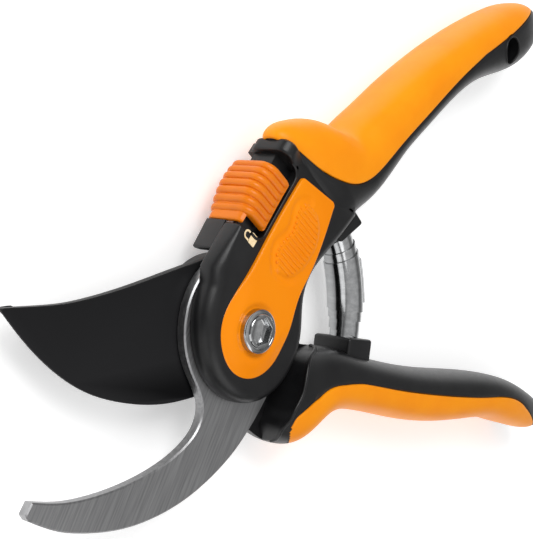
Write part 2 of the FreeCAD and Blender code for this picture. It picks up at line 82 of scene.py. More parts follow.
section_power = 2.6
grip_wall = 1.3
covered_inset = 0.75
groove_turn = 0.014
shoulder_start = 40.3
shoulder_end = 43.3
shoulder_low = 8.0
shoulder_high = 20.6
shoulder_face = 22.7
hood_top = 21.9
hood_low = 6.7
rail_top = 20.8
rail_high = 16.6
rail_low = 9.0
recess_start = 18.0
recess_inner = 13.2
swing_radius = 21.5
bolt_radius = 5.75
hanging_hole = (123.4, 58.3)
hanging_hole_radius = 4.0
beyond = 40.0


# ---- points and curves ------------------------------------------------------

def direction(angle):
    """Unit vector in the plane of the shears."""
    turn = math.radians(angle)
    return np.array([math.cos(turn), math.sin(turn)])


def on_track(along, across):
    """Point in the plane of the shears, measured along and across the slider's track."""
    return direction(track_angle) * along + direction(track_angle + 90) * across


def signed_power(value, power):
    """Power of a size that keeps its sign."""
    return np.sign(value) * np.abs(value) ** power


def eased(value):
    """Smooth rise from 0 to 1."""
    share = np.clip(value, 0.0, 1.0)
    return share * share * (3 - 2 * share)


class SmoothTable:
    """Smooth curve through rows of numbers, by distance along their first two columns."""

    def __init__(self, rows):
        self.rows = np.array(rows, float)
        self.gaps = np.linalg.norm(np.diff(self.rows[:, :2], axis=0), axis=1)
        self.knots = np.concatenate([[0.0], np.cumsum(self.gaps)])
        self.length = self.knots[-1]
        count = len(self.knots)
        matrix = np.eye(count)
        change = np.zeros_like(self.rows)
        slopes = np.diff(self.rows, axis=0) / self.gaps[:, None]
        for row in range(1, count - 1):
            matrix[row, row - 1] = self.gaps[row - 1]
            matrix[row, row] = 2 * (self.gaps[row - 1] + self.gaps[row])
            matrix[row, row + 1] = self.gaps[row]
            change[row] = 6 * (slopes[row] - slopes[row - 1])
        self.bend = np.linalg.solve(matrix, change)

    def at(self, distances):
        """Rows at distances along the curve."""
        distances = np.asarray(distances, float)
        row = np.clip(np.searchsorted(self.knots, distances, side="right") - 1, 0, len(self.gaps) - 1)
        gap = self.gaps[row][:, None]
        right = (distances - self.knots[row])[:, None]
        left = gap - right
        value = (self.bend[row] * left ** 3 + self.bend[row + 1] * right ** 3) / (6 * gap)
        value += (self.rows[row] / gap - self.bend[row] * gap / 6) * left
        value += (self.rows[row + 1] / gap - self.bend[row + 1] * gap / 6) * right
        return value

    def spread(self, count):
        """Evenly spaced rows."""
        return self.at(np.linspace(0, self.length, count))


def smooth_line(points, count):
    """Evenly spaced points on a smooth curve through a few points, as a list of pairs."""
    return [tuple(point) for point in SmoothTable(points).spread(count)]


def arc(radius, start, end, count, centre=(0.0, 0.0)):
    """Points on a circular arc."""
    turns = np.radians(np.linspace(start, end, count))
    return [(centre[0] + radius * math.cos(t), centre[1] + radius * math.sin(t)) for t in turns]


def rounded(corners, steps=7):
    """Closed or open outline with rounded corners, from rows of x, y, radius and weight."""
    corners = [tuple(corner) + (0.0,) * (4 - len(corner)) for corner in corners]
    count = len(corners)
    made = []
    for index, (x, y, radius, weight) in enumerate(corners):
        if radius <= 0:
            made.append((x, y, weight))
            continue
        here = np.array([x, y])
        back = np.array(corners[index - 1][:2]) - here
        ahead = np.array(corners[(index + 1) % count][:2]) - here
        back /= np.linalg.norm(back)
        ahead /= np.linalg.norm(ahead)
        half = math.acos(np.clip(back @ ahead, -1, 1)) / 2
        reach = radius / math.tan(half)
        middle = (back + ahead) / np.linalg.norm(back + ahead)
        centre = here + middle * (radius / math.sin(half))
        first = here + back * reach - centre
        last = here + ahead * reach - centre
        sweep = math.acos(np.clip(first @ last / radius ** 2, -1, 1))
        sign = math.copysign(1, first[0] * last[1] - first[1] * last[0])
        start = math.atan2(first[1], first[0])
        for step in range(steps + 1):
            turn = start + sign * sweep * step / steps
            made.append((centre[0] + radius * math.cos(turn), centre[1] + radius * math.sin(turn), weight))
    return made


def inset_loop(loop, distances):
    """Closed outline moved inwards by its own distance at each point."""
    before = loop - np.roll(loop, 1, axis=0)
    after = np.roll(loop, -1, axis=0) - loop
    area = np.sum(loop[:, 0] * np.roll(loop[:, 1], -1) - np.roll(loop[:, 0], -1) * loop[:, 1])
    side = math.copysign(1, area)
    before = np.stack([-before[:, 1], before[:, 0]], 1) / np.linalg.norm(before, axis=1)[:, None]
    after = np.stack([-after[:, 1], after[:, 0]], 1) / np.linalg.norm(after, axis=1)[:, None]
    square = 1 + np.sum(before * after, axis=1)
    mitre = (before + after) / np.maximum(square, 0.35)[:, None]
    return loop + mitre * (side * np.asarray(distances))[:, None]


# ---- meshes -----------------------------------------------------------------

class Surface:
    """Points and faces gathered for one piece."""

    def __init__(self):
        self.points = []
        self.faces = []

    def add_points(self, points):
        """Adds points and returns the number of the first."""
        first = len(self.points)
        self.points.extend(tuple(float(c) for c in point) for point in points)
        return first

    def skin(self, rings, start_cap=True, end_cap=True):
        """Skin over a stack of closed rings with as many points each."""
        first = self.add_points(np.concatenate(rings))
        count = len(rings[0])
        for row in range(len(rings) - 1):
            low = first + row * count
            high = low + count
            for column in range(count):
                right = (column + 1) % count
                self.faces.append((low + column, low + right, high + right, high + column))
        if start_cap:
            self.faces.append(tuple(range(first, first + count))[::-1])
        if end_cap:
            last = first + (len(rings) - 1) * count
            self.faces.append(tuple(range(last, last + count)))

    def shell(self, outer, inner):
        """Closed sheet between an outer and an inner grid of points."""
        rows, columns = outer.shape[:2]
        first = self.add_points(outer.reshape(-1, 3))
        second = self.add_points(inner.reshape(-1, 3))
        for row in range(rows - 1):
            for column in range(columns - 1):
                a = row * columns + column
                b, c, d = a + 1, a + columns + 1, a + columns
                self.faces.append((first + a, first + b, first + c, first + d))
                self.faces.append((second + d, second + c, second + b, second + a))
        border = list(range(columns))
        border += [row * columns + columns - 1 for row in range(1, rows)]
        border += [(rows - 1) * columns + column for column in range(columns - 2, -1, -1)]
        border += [row * columns for row in range(rows - 2, 0, -1)]
        for a, b in zip(border, border[1:] + border[:1]):
            self.faces.append((first + b, first + a, second + a, second + b))


def tidy_mesh(mesh, sharp=38):
    """Merges doubled points, turns faces outwards and shades smoothly except at sharp edges."""
    work = bmesh.new()
    work.from_mesh(mesh)
    bmesh.ops.remove_doubles(work, verts=work.verts, dist=1e-7)
    bmesh.ops.dissolve_degenerate(work, edges=work.edges, dist=1e-7)
    bmesh.ops.recalc_face_normals(work, faces=work.faces)
    work.to_mesh(mesh)
    work.free()
    mesh.shade_smooth()
    mesh.set_sharp_from_angle(angle=math.radians(sharp))


def add_object(name, surface, material, sharp=38):
    """Object from a gathered surface."""
    mesh = bpy.data.meshes.new(name)
    scaled = [(x * MM, y * MM, z * MM) for x, y, z in surface.points]
    mesh.from_pydata(scaled, [], surface.faces)
    mesh.validate()
    tidy_mesh(mesh, sharp)
    mesh.materials.append(material)
    piece = bpy.data.objects.new(name, mesh)
    bpy.context.scene.collection.objects.link(piece)
    return piece


def settle(piece, body, slot, *nodes):
    """Rides the piece on its body and hides the CAD nodes it stands for; the slot is not used."""
    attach(piece, body)
    if nodes:
        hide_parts(*nodes)
    return piece


def plain_mesh(piece):
    """Turns what an object's modifiers make into its own mesh."""
    bpy.context.view_layer.update()
    graph = bpy.context.evaluated_depsgraph_get()
    mesh = bpy.data.meshes.new_from_object(piece.evaluated_get(graph))
    piece.modifiers.clear()
    piece.data = mesh
    return piece


def cut_away(piece, tool):
    """Takes the space of another object out of a piece."""
    modifier = piece.modifiers.new("cut", "BOOLEAN")
    modifier.operation = "DIFFERENCE"
    modifier.solver = "EXACT"
    modifier.object = tool
    plain_mesh(piece)
    bpy.data.objects.remove(tool)
    tidy_mesh(piece.data)
    return piece


def moulding(surface, outline, profile, top=None):
    """Upright body over a closed outline; profile rows are inset at weight 1, inset at weight 0, height."""
    outline = np.array(outline, float)
    loop, weight = outline[:, :2], outline[:, 2]
    rings = []
    for heavy, light, level in profile:
        moved = inset_loop(loop, heavy * weight + light * (1 - weight))
        ring = np.column_stack([moved, np.full(len(moved), level)])
        rings.append(ring)
    if top is not None:
        for ring in rings[top.first_row:]:
            ring[:, 2] += top.height(ring[:, :2])
    surface.skin(rings, end_cap=top is None)
    if top is not None:
        top.fill(surface, rings[-1])


def rounding(width, height, base, steps=6):
    """Profile rows of a rounded rim: inset grows to width as the level rises by height."""
    rows = []
    for step in range(steps + 1):
        turn = math.pi / 2 * step / steps
        rows.append((width * (1 - math.cos(turn)), base + height * math.sin(turn)))
    return rows


class ReliefTop:
    """Top face whose level follows a relief, filled with fine triangles."""

    def __init__(self, relief, spacing, first_row):
        self.height = relief
        self.spacing = spacing
        self.first_row = first_row

    def fill(self, surface, ring):
        """Fills the last ring of a moulding with the relief."""
        rim = ring[:, :2]
        low, high = rim.min(0), rim.max(0)
        grid_x = np.arange(low[0], high[0], self.spacing)
        grid_y = np.arange(low[1], high[1], self.spacing)
        shift = self.spacing / 2
        grid = np.array([(x + row % 2 * shift, y) for row, y in enumerate(grid_y) for x in grid_x])
        grid = grid[inside(grid, rim) & (edge_distance(grid, rim) > self.spacing * 0.6)]
        seeds = [Vector(point) for point in np.concatenate([rim, grid])]
        edges = [(i, (i + 1) % len(rim)) for i in range(len(rim))]
        verts, _, faces = delaunay_2d_cdt(seeds, edges, [tuple(range(len(rim)))], 1, 1e-6)[:3]
        flat = np.array([tuple(v) for v in verts])
        base = ring[0, 2] - self.height(ring[:1, :2])[0]
        levels = base + self.height(flat)
        first = surface.add_points(np.column_stack([flat, levels]))
        surface.faces.extend(tuple(first + i for i in face) for face in faces)


def inside(points, loop):
    """Which points lie inside a closed outline."""
    result = np.zeros(len(points), bool)
    for (x1, y1), (x2, y2) in zip(loop, np.roll(loop, -1, axis=0)):
        if y1 == y2:
            continue
        between = (points[:, 1] >= min(y1, y2)) & (points[:, 1] < max(y1, y2))
        crossing = x1 + (points[:, 1] - y1) * (x2 - x1) / (y2 - y1)
        result ^= between & (points[:, 0] < crossing)
    return result


def edge_distance(points, loop):
    """Distance of each point from the outline's corner points."""
    gaps = points[:, None, :] - loop[None, :, :]
    return np.sqrt((gaps ** 2).sum(2)).min(1)


def tube(surface, path, radii, sides=12):
    """Round bar along a path of points, with a radius at each."""
    path = np.array(path, float)
    radii = np.broadcast_to(np.asarray(radii, float), (len(path),))
    tangents = np.gradient(path, axis=0)
    tangents /= np.linalg.norm(tangents, axis=1)[:, None]
    normal = np.cross(tangents[0], [0.3, 0.2, 1.0])
    rings = []
    for point, tangent, radius in zip(path, tangents, radii):
        normal = normal - tangent * (normal @ tangent)
        normal /= np.linalg.norm(normal)
        other = np.cross(tangent, normal)
        turns = np.linspace(0, 2 * math.pi, sides, endpoint=False)
        ring = point + radius * (np.cos(turns)[:, None] * normal + np.sin(turns)[:, None] * other)
        rings.append(ring)
    surface.skin(rings)


def lathe(surface, profile, sides=72, centre=(0.0, 0.0)):
    """Turned body from rows of radius and height, bottom to top."""
    turns = np.linspace(0, 2 * math.pi, sides, endpoint=False)
    rings = []
    for radius, level in profile:
        across = centre[0] + radius * np.cos(turns)
        along = centre[1] + radius * np.sin(turns)
        rings.append(np.column_stack([across, along, np.full(sides, level)]))
    surface.skin(rings)


# ---- materials --------------------------------------------------------------

class Finish:
    """Material with a few helpers for procedural detail."""

    def __init__(self, name, colour, roughness, metallic=0.0):
        self.material = bpy.data.materials.new(name)
        self.material.use_nodes = True
        self.tree = self.material.node_tree
        self.shader = self.tree.nodes["Principled BSDF"]
        self.shader.inputs["Base Color"].default_value = (*colour, 1)
        self.shader.inputs["Roughness"].default_value = roughness
        self.shader.inputs["Metallic"].default_value = metallic
        self.place = self.tree.nodes.new("ShaderNodeTexCoord").outputs["Object"]
        self.bumps = None

    def node(self, kind, **inputs):
        """New node with its inputs given by name; a socket is linked, a number is set."""
        made = self.tree.nodes.new(kind)
        for name, value in inputs.items():
            socket = made.inputs[name.replace("_", " ")]
            if isinstance(value, bpy.types.NodeSocket):
                self.tree.links.new(value, socket)
            else:
                socket.default_value = value
        return made

    def set(self, name, value):
        """Sets or links a socket of the shader."""
        if isinstance(value, bpy.types.NodeSocket):
            self.tree.links.new(value, self.shader.inputs[name])
        else:
            self.shader.inputs[name].default_value = value

    def mapping(self, scale=(1, 1, 1), turn=0.0):
        """Place on the piece, turned about the pivot's axis and stretched."""
        made = self.node("ShaderNodeMapping", Vector=self.place)
        made.vector_type = "TEXTURE"
        made.inputs["Rotation"].default_value = (0, 0, math.radians(turn))
        made.inputs["Scale"].default_value = scale
        return made.outputs["Vector"]

    def noise(self, scale, detail=3.0, vector=None, roughness=0.55):
        """Value of a noise pattern, with scale in features per metre."""
        made = self.node("ShaderNodeTexNoise", Vector=vector or self.place, Scale=scale, Detail=detail)
        made.inputs["Roughness"].default_value = roughness
        return made.outputs["Fac"]

    def spread(self, value, low, high, start=0.0, end=1.0):
        """Value mapped from start..end to low..high."""
        made = self.node("ShaderNodeMapRange", Value=value)
        made.inputs["From Min"].default_value = start
        made.inputs["From Max"].default_value = end
        made.inputs["To Min"].default_value = low
        made.inputs["To Max"].default_value = high
        return made.outputs["Result"]

    def tint(self, value, first, second, start=0.35, end=0.65):
        """Colour between two, led by a value."""
        ramp = self.tree.nodes.new("ShaderNodeValToRGB")
        ramp.color_ramp.elements[0].position = start
        ramp.color_ramp.elements[1].position = end
        ramp.color_ramp.elements[0].color = (*first, 1)
        ramp.color_ramp.elements[1].color = (*second, 1)
        self.tree.links.new(value, ramp.inputs["Fac"])
        return ramp.outputs["Color"]

    def bump(self, value, depth, strength=1.0):
        """Adds a bump of a depth in metres to those already there."""
        made = self.node("ShaderNodeBump", Height=value)
        made.inputs["Strength"].default_value = strength
        made.inputs["Distance"].default_value = depth
        if self.bumps is not None:
            self.tree.links.new(self.bumps, made.inputs["Normal"])
        self.bumps = made.outputs["Normal"]
        self.tree.links.new(self.bumps, self.shader.inputs["Normal"])

    def painted_edge_highlight(self):
        """Value near 1 on outward edges, used to paint a highlight there."""
        return self.tree.nodes.new("ShaderNodeNewGeometry").outputs["Pointiness"]


def black_nylon():
    """Glass-filled black nylon with a fine spark-eroded texture."""
    finish = Finish("black_nylon", (0.006, 0.006, 0.0065), 0.36)
    cloud = finish.noise(160, 2.0)
    finish.set("Base Color", finish.tint(cloud, (0.005, 0.005, 0.0055), (0.008, 0.008, 0.0086)))
    finish.set("Roughness", finish.spread(finish.noise(900, 3.0), 0.30, 0.44))
    finish.set("Specular IOR Level", 0.38)
    finish.bump(finish.noise(5200, 2.0), 0.000022, 0.55)
    return finish.material


def orange_soft_touch():
    """Matt orange elastomer, with a faint grain and slight cloudiness."""
    finish = Finish("orange_soft_touch", (0.95, 0.30, 0.0), 0.42)
    cloud = finish.noise(70, 3.0)
    finish.set("Base Color", finish.tint(cloud, (0.94, 0.285, 0.0), (0.97, 0.318, 0.001)))
    finish.set("Roughness", finish.spread(finish.noise(700, 3.0), 0.36, 0.46))
    finish.set("Specular IOR Level", 0.22)
    finish.bump(finish.noise(4200, 2.0), 0.00002, 0.4)
    return finish.material


def orange_gloss():
    """Glossy moulded orange plastic under a clear skin, with faint flow waves."""
    finish = Finish("orange_gloss", (0.93, 0.235, 0.0), 0.24)
    cloud = finish.noise(45, 2.0)
    finish.set("Base Color", finish.tint(cloud, (0.90, 0.245, 0.0), (0.93, 0.27, 0.001)))
    finish.set("Roughness", finish.spread(finish.noise(300, 3.0), 0.18, 0.27))
    finish.set("Specular IOR Level", 0.15)
    finish.set("Coat Weight", 0.05)
    finish.set("Coat Roughness", 0.1)
    finish.bump(finish.noise(240, 2.0), 0.00003, 0.25)
    return finish.material


def orange_slider():
    """Satin orange plastic of the thumb slider."""
    finish = Finish("orange_slider", (0.93, 0.235, 0.0), 0.34)
    cloud = finish.noise(120, 2.0)
    finish.set("Base Color", finish.tint(cloud, (0.72, 0.17, 0.0), (0.76, 0.187, 0.001)))
    finish.set("Roughness", finish.spread(finish.noise(800, 3.0), 0.28, 0.40))
    finish.set("Specular IOR Level", 0.3)
    finish.bump(finish.noise(3600, 2.0), 0.000015, 0.35)
    return finish.material


def hook_steel():
    """Flat-ground satin steel with fine grinding lines and a few handling scratches."""
    finish = Finish("hook_steel", (0.62, 0.62, 0.63), 0.38, 1.0)
    lines = finish.noise(900, 4.0, finish.mapping((14, 0.5, 1), 52))
    scratches = finish.noise(260, 2.0, finish.mapping((26, 0.4, 1), 18))
    finish.set("Base Color", finish.tint(lines, (0.28, 0.28, 0.285), (0.42, 0.42, 0.425), 0.3, 0.7))
    finish.set("Roughness", finish.spread(lines, 0.32, 0.52))
    finish.bump(lines, 0.000012, 0.5)
    finish.bump(finish.spread(scratches, 0.0, 1.0, 0.66, 0.72), 0.00001, 0.4)
    return finish.material


def plain_steel():
    """Plain zinc-plated steel, slightly mottled."""
    finish = Finish("plain_steel", (0.55, 0.56, 0.58), 0.34, 1.0)
    finish.set("Base Color", finish.tint(finish.noise(500, 3.0), (0.45, 0.46, 0.48), (0.62, 0.63, 0.65)))
    finish.set("Roughness", finish.spread(finish.noise(1200, 3.0), 0.26, 0.42))
    finish.bump(finish.noise(2600, 2.0), 0.00001, 0.4)
    return finish.material


def bright_chrome():
    """Polished plated steel with faint drawing lines."""
    finish = Finish("bright_chrome", (0.80, 0.81, 0.83), 0.12, 1.0)
    lines = finish.noise(700, 3.0, finish.mapping((1, 1, 12)))
    finish.set("Base Color", finish.tint(lines, (0.40, 0.405, 0.41), (0.50, 0.505, 0.51)))
    finish.set("Roughness", finish.spread(lines, 0.08, 0.17))
    finish.bump(lines, 0.000004, 0.4)
    return finish.material


def black_coating():
    """Low-friction black coating on ground steel, with faint grinding lines and a painted highlight on
    outward edges.
    """
    finish = Finish("black_coating", (0.012, 0.012, 0.013), 0.34)
    lines = finish.noise(800, 3.0, finish.mapping((12, 0.6, 1), 20))
    # outward edges are painted lighter grey: a painted highlight along the blade's edges
    edge_highlight = finish.painted_edge_highlight()
    finish.set("Base Color", finish.tint(edge_highlight, (0.004, 0.004, 0.0043), (0.06, 0.06, 0.063), 0.53, 0.62))
    finish.set("Roughness", finish.spread(lines, 0.26, 0.44))
    finish.set("Specular IOR Level", 0.04)
    finish.bump(lines, 0.00001, 0.45)
    return finish.material


def cream_print():
    """Matt cream ink of the lock symbol."""
    finish = Finish("cream_print", (0.92, 0.72, 0.42), 0.5)
    finish.set("Base Color", finish.tint(finish.noise(1500, 2.0), (0.88, 0.66, 0.36), (0.96, 0.78, 0.50)))
    finish.bump(finish.noise(5000, 2.0), 0.00001, 0.4)
    return finish.material


nylon = black_nylon()
soft_orange = orange_soft_touch()
gloss_orange = orange_gloss()
slider_orange = orange_slider()
steel = hook_steel()
zinc = plain_steel()
chrome = bright_chrome()
coating = black_coating()
cream = cream_print()


# ---- handles ----------------------------------------------------------------

# handle sections from the pivot's end to the tip: rows of x, y, angle, half width, share of the
# half height, and lift as a share of the half thickness
upper_stations = [
    (27.1, 31.1, 42, 19.4, 0.61, 0.37), (31.8, 34.7, 42, 19.4, 0.67, 0.33),
    (37.7, 35.8, 39, 17.9, 0.77, 0.23), (45.1, 35.5, 34, 14.9, 0.88, 0.12),
    (51.0, 34.3, 31, 11.0, 0.95, 0.05), (56.5, 36.5, 30, 10.1, 1.0, 0.0),
    (64.9, 41.2, 29, 9.2, 1.0, 0.0), (76.6, 46.8, 27, 8.7, 1.0, 0.0),
    (90.1, 52.7, 24, 8.0, 1.0, 0.0), (103.9, 57.3, 20, 7.9, 1.0, 0.0),
    (118.0, 60.0, 14, 9.0, 0.98, 0.0), (129.0, 61.8, 10, 9.5, 0.92, 0.0),
    (138.4, 63.7, 6, 8.3, 0.78, 0.0), (144.9, 64.5, 3, 5.4, 0.52, 0.0),
    (147.4, 64.7, 3, 3.4, 0.36, 0.0),
]
lower_stations = [
    (10.0, -17.5, -24, 13.0, 1.0, 0.0), (23.2, -23.8, -24, 13.0, 1.0, 0.0),
    (30.6, -23.2, -24, 10.2, 1.0, 0.0), (38.6, -24.5, -25, 8.3, 1.0, 0.0),
    (46.4, -27.5, -25, 7.7, 1.0, 0.0), (56.2, -31.6, -24, 7.6, 1.0, 0.0),
    (66.1, -35.7, -22, 7.8, 1.0, 0.0), (79.8, -40.5, -20, 7.9, 1.0, 0.0),
    (96.0, -45.0, -18, 7.5, 1.0, 0.0), (110.0, -49.2, -21, 7.0, 0.98, 0.0),
    (120.1, -53.8, -26, 6.9, 0.90, 0.0), (129.9, -59.1, -32, 6.2, 0.74, 0.0),
    (137.6, -63.6, -34, 4.8, 0.52, 0.0), (141.4, -66.0, -34, 3.0, 0.34, 0.0),
]

# edges between the soft grips and the black cores, in the plane of the shears
upper_boundary = [
    (18.8, 44.6), (21.4, 42.6), (24.6, 40.1), (27.4, 37.7), (32.6, 34.1), (37.4, 31.8), (42.0, 30.3),
    (48.2, 30.1), (53.4, 31.9), (64.2, 37.6), (77.4, 44.2), (95.1, 52.9), (109.3, 58.5), (128.6, 64.6),
    (140.0, 68.6), (149.0, 70.8),
]
lower_boundary = [
    (3.0, -31.0), (8.0, -28.6), (11.6, -26.9), (16.3, -25.2), (22.3, -23.3), (26.6, -22.4),
    (32.7, -22.9), (39.6, -24.5), (45.8, -26.8), (58.6, -32.0), (72.0, -36.9), (101.3, -46.1),
    (116.1, -50.7), (122.6, -54.1), (130.0, -60.2), (138.0, -68.0),
]

# line along which the lower handle's front stops above the blade's heel
collar_line = [
    (40.0, -13.5), (30.0, -12.4), (25.4, -12.4), (19.9, -13.4), (17.8, -15.4), (16.5, -17.4),
    (14.4, -21.1), (11.2, -24.6), (9.9, -26.8), (8.5, -28.4), (8.6, -31.0), (10.0, -36.0), (11.0, -42.0),
]


# the handle's root keeps to the cover's level beside the plate, then rises to its full height
root_height = 8.4
root_rise = 2.1
root_rise_start = 41.0
root_rise_run = 9.0
root_full_height = 10.4
root_side = 20.0
root_side_run = 7.0


def flattened(points):
    """Front of the handle's root brought down to the front cover's level beside the plate."""
    along = points[..., :2] @ direction(track_angle)
    across = points[..., :2] @ direction(track_angle + 90)
    height = root_height + root_rise * eased((along - root_rise_start) / root_rise_run)
    share = np.minimum(height / root_full_height, 1.0)
    weight = eased((root_side - across) / root_side_run)
    rise = points[..., 2] - handle_middle
    factor = 1 - weight * (1 - share)
    points[..., 2] = handle_middle + np.where(rise > 0, rise * factor, rise)
    return points


grip_slant_depth = 12.6
grip_slant_middle = 6.0
groove_depth = 0.12
root_ramp_start = 0.9
root_ramp_run = 0.9
sunk_limit = 0.4


class Handle:
    """Handle of rounded sections, split by the edge of its soft grip."""

    def __init__(self, stations, boundary, side, grip_start, grip_end, slant=0.0):
        self.table = SmoothTable(stations)
        self.edge = SmoothTable(boundary).spread(400)
        self.side = side
        self.grip_start = grip_start
        self.grip_end = grip_end
        self.slant = slant

    def start_at(self, level):
        """Distance at which the grip starts, by level."""
        drop = np.clip(handle_thickness - 1.0 - level, 0.0, grip_slant_depth)
        return self.grip_start + self.slant * drop

    def lay(self, rows):
        """Centres, across vectors, half widths and half heights of station rows."""
        turn = np.radians(rows[..., 2])
        level = handle_middle * (1 + rows[..., 5])
        centre = np.stack([rows[..., 0], rows[..., 1], level], axis=-1)
        across = np.stack([-np.sin(turn), np.cos(turn), np.zeros_like(turn)], axis=-1) * self.side
        return centre, across, rows[..., 3], rows[..., 4] * handle_middle

    def split(self, rows):
        """Turn at which the grip's edge crosses each section."""
        centre, across, wide, _ = self.lay(rows)
        ahead = np.column_stack([np.cos(np.radians(rows[:, 2])), np.sin(np.radians(rows[:, 2]))])
        turns = []
        share = 0.47
        for middle, sideways, forward, half in zip(centre, across, ahead, wide):
            offset = self.edge - middle[:2]
            along = offset @ forward
            crossing = np.nonzero(np.diff(np.sign(along)))[0]
            if len(crossing):
                near = crossing[0]
                part = along[near] / (along[near] - along[near + 1])
                point = offset[near] * (1 - part) + offset[near + 1] * part
                share = np.clip(point @ sideways[:2] / half, -0.98, 0.985)
            turns.append(math.acos(signed_power(share, section_power / 2)))
        return np.array(turns)

    def points(self, rows, turns, inset):
        """Grid of points at turns round each section, moved in by inset."""
        if rows.ndim == 2:
            rows = rows[:, None, :]
        centre, across, wide, high = self.lay(rows)
        cosine, sine = np.cos(turns), np.sin(turns)
        flat = wide * signed_power(cosine, 2 / section_power)
        tall = high * signed_power(sine, 2 / section_power)
        lean = signed_power(cosine, 2 - 2 / section_power) / wide
        rise = signed_power(sine, 2 - 2 / section_power) / high
        size = np.sqrt(lean ** 2 + rise ** 2)
        flat = flat - inset * lean / size
        tall = tall - inset * rise / size
        grid = centre + flat[:, :, None] * across
        grid[:, :, 2] += tall
        return flattened(grid) if self.side > 0 else grid

    def surface_level(self, points):
        """Level of the handle's front at points in the plane."""
        rows = self.table.spread(400)
        centre, across, wide, high = self.lay(rows)
        levels = []
        for point in points:
            offset = np.asarray(point) - centre[:, :2]
            ahead = np.column_stack([np.cos(np.radians(rows[:, 2])), np.sin(np.radians(rows[:, 2]))])
            row = np.argmin(np.abs(np.sum(offset * ahead, axis=1)))
            share = min(abs(offset[row] @ across[row, :2]) / wide[row], 1.0)
            levels.append(centre[row, 2] + high[row] * (1 - share ** section_power) ** (1 / section_power))
        return levels

    def tip_rings(self, ring, row, reach=1.1, steps=5):
        """Rings that close a handle's end with a round tip."""
        centre = np.array([row[0], row[1], handle_middle])
        ahead = np.array([*direction(row[2]), 0.0])
        made = []
        for step in range(1, steps + 1):
            share = step / steps * 0.995
            made.append(centre + ahead * reach * share + (ring - centre) * math.sqrt(1 - share ** 2))
        return made

    def core(self, name, start=0.0, sunk=0.0, early=0.0):
        """Black part of the handle, a little sunk where the grip covers it."""
        distance = np.linspace(start, self.table.length, 190)
        rows = self.table.at(distance)
        split = self.split(rows)
        black = np.linspace(groove_turn, 1 - groove_turn, 62)
        hidden = np.linspace(-1, 1, 46)
        grid_black = split[:, None] * (1 - black) + (2 * math.pi - split)[:, None] * black
        grid_black[:, 0] = split + groove_turn
        grid_black[:, -1] = 2 * math.pi - split - groove_turn
        grid_hidden = np.maximum(split - 0.03, 0.01)[:, None] * hidden + 2 * math.pi
        turns = np.concatenate([grid_black, grid_hidden], axis=1)
        inset = np.zeros_like(turns)
        levels = self.points(rows, turns, inset)[:, :, 2]
        first = self.start_at(levels) - early
        covered = (distance[:, None] >= first) & (distance[:, None] <= self.grip_end)
        under = np.zeros_like(turns)
        under[:, len(black):] = covered_inset
        under[:, 0] = groove_depth
        under[:, len(black) - 1] = groove_depth
        inset = np.where(covered, under, 0.0)
        depth = np.where(np.arange(turns.shape[1]) < len(black), min(sunk, sunk_limit), sunk)
        ramp = eased((distance - start - root_ramp_start) / root_ramp_run)
        inset += depth * (1 - ramp)[:, None]
        grid = self.points(rows, turns, inset)
        surface = Surface()
        surface.skin(list(grid) + self.tip_rings(grid[-1], rows[-1]))
        return add_object(name, surface, nylon)

    def grip(self, name, roll=0.55, start_roll=0.55, start_run=0.55):
        """Soft orange shell with rolled edges."""
        columns = 61
        column = np.sin(np.linspace(-1, 1, columns) * math.pi / 2)
        first = self.table.at([self.grip_start + self.slant * grip_slant_middle])
        level = self.points(first, self.split(first)[:, None] * column, np.zeros((1, columns)))[0, :, 2]
        start = self.start_at(level)
        share = (1 - np.cos(np.linspace(0, math.pi, 150))) / 2
        distance = start + (self.grip_end - start) * share[:, None]
        rows = self.table.at(distance.ravel())
        split = np.maximum(self.split(rows) - groove_turn, 0.006).reshape(distance.shape)
        rows = rows.reshape(*distance.shape, -1)
        turns = split * column
        plain = self.points(rows, turns, np.zeros_like(turns))
        steps = np.linalg.norm(np.diff(plain, axis=1), axis=2)
        reached = np.concatenate([np.zeros((len(distance), 1)), np.cumsum(steps, axis=1)], axis=1)
        to_edge = np.minimum(reached, reached[:, -1:] - reached)
        to_end = np.minimum(to_edge, self.grip_end - distance)
        gap = np.clip(to_end / roll, 0, 1)
        inset = roll * (1 - np.sqrt(1 - (1 - gap) ** 2))
        gap = np.clip((distance - start) / start_run, 0, 1)
        inset = np.maximum(inset, start_roll * (1 - np.sqrt(1 - (1 - gap) ** 2)))
        outer = self.points(rows, turns, inset)
        inner = self.points(rows, turns, np.full_like(turns, grip_wall))
        surface = Surface()
        surface.shell(outer, inner)
        return add_object(name, surface, soft_orange)


def upright_cylinder(radius, low, high, centre=(0.0, 0.0), sides=96):
    """Cutting tool: a plain upright cylinder."""
    surface = Surface()
    lathe(surface, [(radius, low), (radius, high)], sides, centre)
    return add_object("tool", surface, nylon)


def hole_lip(handle):
    """Rounded lip round the hanging hole, following the handle's front and back."""
    surface = Surface()
    lip_radius = 0.32
    lip_inset = 0.12
    rim = np.array(arc(hanging_hole_radius + lip_inset, 0, 360, 65, hanging_hole)[:-1])
    heights_above = np.array(handle.surface_level(rim)) - handle_middle - lip_inset
    for mirror in (1, -1):
        path = np.column_stack([rim, handle_middle + mirror * heights_above])
        tangents = np.roll(path, -1, axis=0) - np.roll(path, 1, axis=0)
        tangents /= np.linalg.norm(tangents, axis=1)[:, None]
        rings = []
        for point, tangent in zip(path, tangents):
            outward = np.array([point[0] - hanging_hole[0], point[1] - hanging_hole[1], 0.0])
            outward /= np.linalg.norm(outward)
            upward = np.cross(outward, tangent)
            turns = np.linspace(0, 2 * math.pi, 10, endpoint=False)
            ring = np.cos(turns)[:, None] * outward + np.sin(turns)[:, None] * upward
            rings.append(point + lip_radius * ring)
        rings.append(rings[0])
        surface.skin(rings, start_cap=False, end_cap=False)
    return add_object("hanging_hole_lip", surface, nylon)


